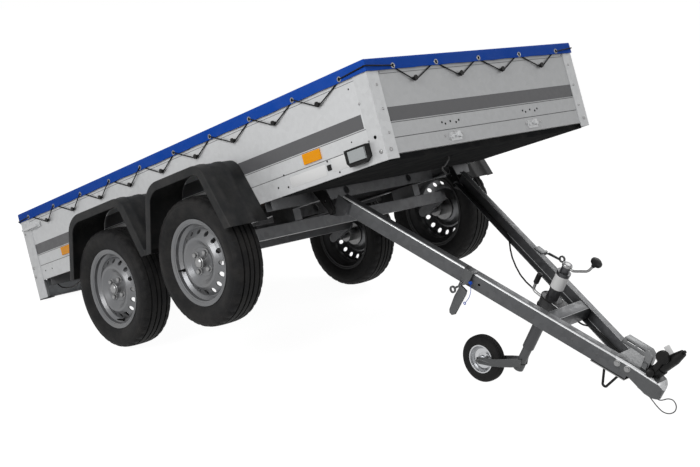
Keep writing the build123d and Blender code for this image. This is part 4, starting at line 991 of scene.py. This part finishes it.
tube_a = 858.0
tube_foot, tube_way = (tube_a, 0, 0), (0, 0, 1)
bm = bmesh.new()
section = [(60, 19), (62, 22), (66, 23.6), (76, 25), (86, 24.4), (93, 22), (97, 18), (99, 14), (99.6, 9.5), (97, 9),
           (97, 6.5), (99.9, 6), (100, 1.6), (97.4, 1.2)]
add_turned(bm, section + [(r, -y) for r, y in reversed(section)] + [(60, 19)], (0, 0, 0), (0, 1, 0), steps=72)
finish_piece("jockey_wheel_tyre", bm, middle_of("jockey_tyre"), "jockey_wheel", tyre_rubber, "tyre", ["jockey_tyre"],
             sharp=32)

# %% Crank and knob
bm = bmesh.new()
add_wire(bm, [(tube_a + 18.3, 0, 224, 0), (tube_a + 32, 0, 224, 8), (tube_a + 87, 0, 262, 10),
              (tube_a + 99, 0, 298, 0)], 5)
tube_cap = [(19, 225), (21, 226), (21, 233), (19.6, 235), (0, 237.2), (0, 225), (19, 225)]
add_turned(bm, tube_cap, tube_foot, tube_way)
finish_piece("crank_arm", bm, drawbar_place, "jockey_tube", bright_zinc, "galvanised", ["jockey_crank"])
bm = bmesh.new()
knob = [(0, -18), (8, -18), (9.5, -12), (13, -6), (21.5, -2), (24, 4), (23, 10), (17, 15), (8, 17.5), (0, 18)]
add_turned(bm, knob, (tube_a + 101, 0, 309), (0.28, 0, 1), steps=32)
finish_piece("crank_knob", bm, drawbar_place, "jockey_tube", black_plastic, "black_plastic")

# %% Label, rings, grip and handle bar
bm = bmesh.new()
sleeve = [(27.05, 124), (27.5, 124.4), (27.5, 183.6), (27.05, 184), (27.05, 124)]
add_turned(bm, sleeve, tube_foot, tube_way, steps=40)
finish_piece("tube_label", bm, drawbar_place, "jockey_tube", label_white, "white_lens")
bm = bmesh.new()
for height in (26, 71):
    add_turned(bm, [(42.2, height), (44.5, height + 0.8), (44.5, height + 4), (42.2, height + 5), (42.2, height)],
               tube_foot, tube_way, steps=40)
grip = [(0, 82), (9, 82), (11, 84.5), (11, 122), (9, 128), (5, 130.4), (0, 131)]
add_turned(bm, grip, (tube_a - 90, 0, 0), tube_way)
on_drawbar("clamp_grip", bm, black_plastic, "black_plastic")
bm = bmesh.new()
add_wire(bm, [(tube_a - 42.5, 0, 50, 0), (tube_a - 88, 0, 50, 14), (tube_a - 90, 0, 85, 0)], 6.2)
on_drawbar("clamp_handle_bar", bm, bright_zinc, "zinc")
print("jockey wheel detailed")

# %% [markdown]
# ## Fasteners, holes and labels
# Small things make the scale readable: bolt heads on the corner posts and the coupling, the row of
# drilled holes above each catch, the long folds pressed into the sheets, and the blank labels by the
# lamp. A hole is a dark disc of painted shade, a hair above the surface, and a fold is a thin strip of
# painted shade.

# %% Fasteners and holes
wall_front, wall_side = 1719, 637
post_front, post_side = 1722, 640
catch_y = 254


def add_dot(bm, radius, place, direction):
    """A thin disc of painted shade that stands for a hole."""
    add_turned(bm, [(0, 0.35), (radius, 0.35), (radius, 0), (0, 0)], place, direction, steps=14)


bm = bmesh.new()
for side in (1, -1):
    for z in (437, 347, 258):
        add_bolt(bm, 5.2, 3, (post_front, side * 602, z), (1, 0, 0))
    add_bolt(bm, 8, 4, (post_front, side * 614, 198), (1, 0, 0), steps=16)
    for x, z, size in ((1650, 388, 5), (1650, 249, 5), (1696, 198, 8), (-962, 237, 8), (-962, 190, 8), (-962, 420, 6)):
        add_bolt(bm, size, size * 0.55, (x, side * post_side, z), (0, side, 0), steps=16)
    for offset, z in ((-49, 214), (-26, 200), (5, 224), (28, 201), (50, 213)):
        add_bolt(bm, 5, 3, (wall_front, side * catch_y + offset, z), (1, 0, 0), steps=12)
on_box("box_fasteners", bm, bright_zinc, "zinc")

bm = bmesh.new()
for side in (1, -1):
    for offset, z in ((-49, 268), (-31, 261), (0, 268), (32, 261), (50, 268)):
        add_dot(bm, 4.2, (wall_front, side * catch_y + offset, z), (1, 0, 0))
    for y, z in ((571, 482), (574, 301)):
        add_dot(bm, 2.4, (wall_front, side * y, z), (1, 0, 0))
    add_dot(bm, 7, (1685, side * post_side, 254), (0, side, 0))
    for x, z, size in ((1612, 454, 3.5), (-850, 205, 4), (-780, 205, 4), (1560, 268, 3), (1100, 200, 4),
                       (1150, 240, 4)):
        add_dot(bm, size, (x, side * wall_side, z), (0, side, 0))
on_box("box_holes", bm, painted_hole_shade, "galvanised")

# %% Folds and labels
bm = bmesh.new()
for z0, z1, out in ((474.5, 476.5, 0.4), (236.2, 238.8, -1.1), (292.2, 294.8, -1.1)):
    add_block(bm, (wall_front + out - 0.4, -576, z0), (wall_front + out, 576, z1))
    for side in (1, -1):
        add_block(bm, (-888, side * (wall_side + out - 0.4), z0), (1648, side * (wall_side + out), z1))
on_box("sheet_folds", bm, fold_shade, "galvanised")

bm = bmesh.new()
for x0, x1, z0, z1 in ((1180, 1392, 182, 224), (1430, 1520, 186, 236)):
    add_block(bm, (x0, -wall_side - 0.5, z0), (x1, -wall_side, z1), round_by=0.1)
on_box("blank_labels", bm, label_white, "white_lens")
bm = bmesh.new()
add_block(bm, (1402, -wall_side - 3, 196), (1424, -wall_side, 218), round_by=1)
for x, z in ((1409, 232), (1461, 178), (1160, 190)):
    add_bolt(bm, 4, 2.5, (x, -wall_side, z), (0, -1, 0), steps=12)
on_box("label_fixings", bm, black_plastic, "black_plastic")

# %% [markdown]
# ## Coupling fittings
# A small coil spring keeps the coupling's lock shut, four flanged bolts hold the head between the
# arms, and a blank tag hangs on the parked plug. A coil is bent bar again, with many corners.

# %% Coupling fittings
def add_coil(bm, start, end, radius, wire, turns):
    """A coil spring between two points, as a bevelled curve made a mesh."""
    place = aim(start, Vector(end) - Vector(start))
    length = (Vector(end) - Vector(start)).length
    steps = turns * 12
    add_wire(bm, [(*(place @ Vector((radius * cos(k * pi / 6), radius * sin(k * pi / 6), length * k / steps))), 0)
                  for k in range(steps + 1)], wire)


bm = bmesh.new()
add_coil(bm, (1330, 0, 98), (1304, 0, 120), 8, 1.6, 6)
add_block(bm, (1322, -13, 88), (1346, 13, 99), round_by=2)
add_turned(bm, [(0, 0), (13, 0), (15, 4), (15, 10), (11, 13), (0, 14)], (1352, -33, 98), (0.4, -1, 0.3))
on_drawbar("coupling_lock", bm, black_plastic, "black_plastic")

bm = bmesh.new()
washer = 4.2
for a, side in product((1239, 1279), (1, -1)):
    nx, ny = sin(arm_turn), cos(arm_turn)
    add_hexagon(bm, 9.6, 9.5, (a + nx * washer, side * (arm_face(a) + ny * washer), 66), (nx, side * ny, 0))
on_drawbar("coupling_bolts", bm, bright_zinc, "zinc", sharp=30)

bm = bmesh.new()
add_block(bm, (-17, -0.6, -13), (17, 0.6, 13), round_by=0.3)
tag_place = Matrix.Translation((1369, -24, 215)) @ Matrix.Rotation(radians(28), 4, "Y")
bmesh.ops.transform(bm, matrix=tag_place, verts=bm.verts)
on_drawbar("plug_tag", bm, label_white, "white_lens")
print("small fittings placed")
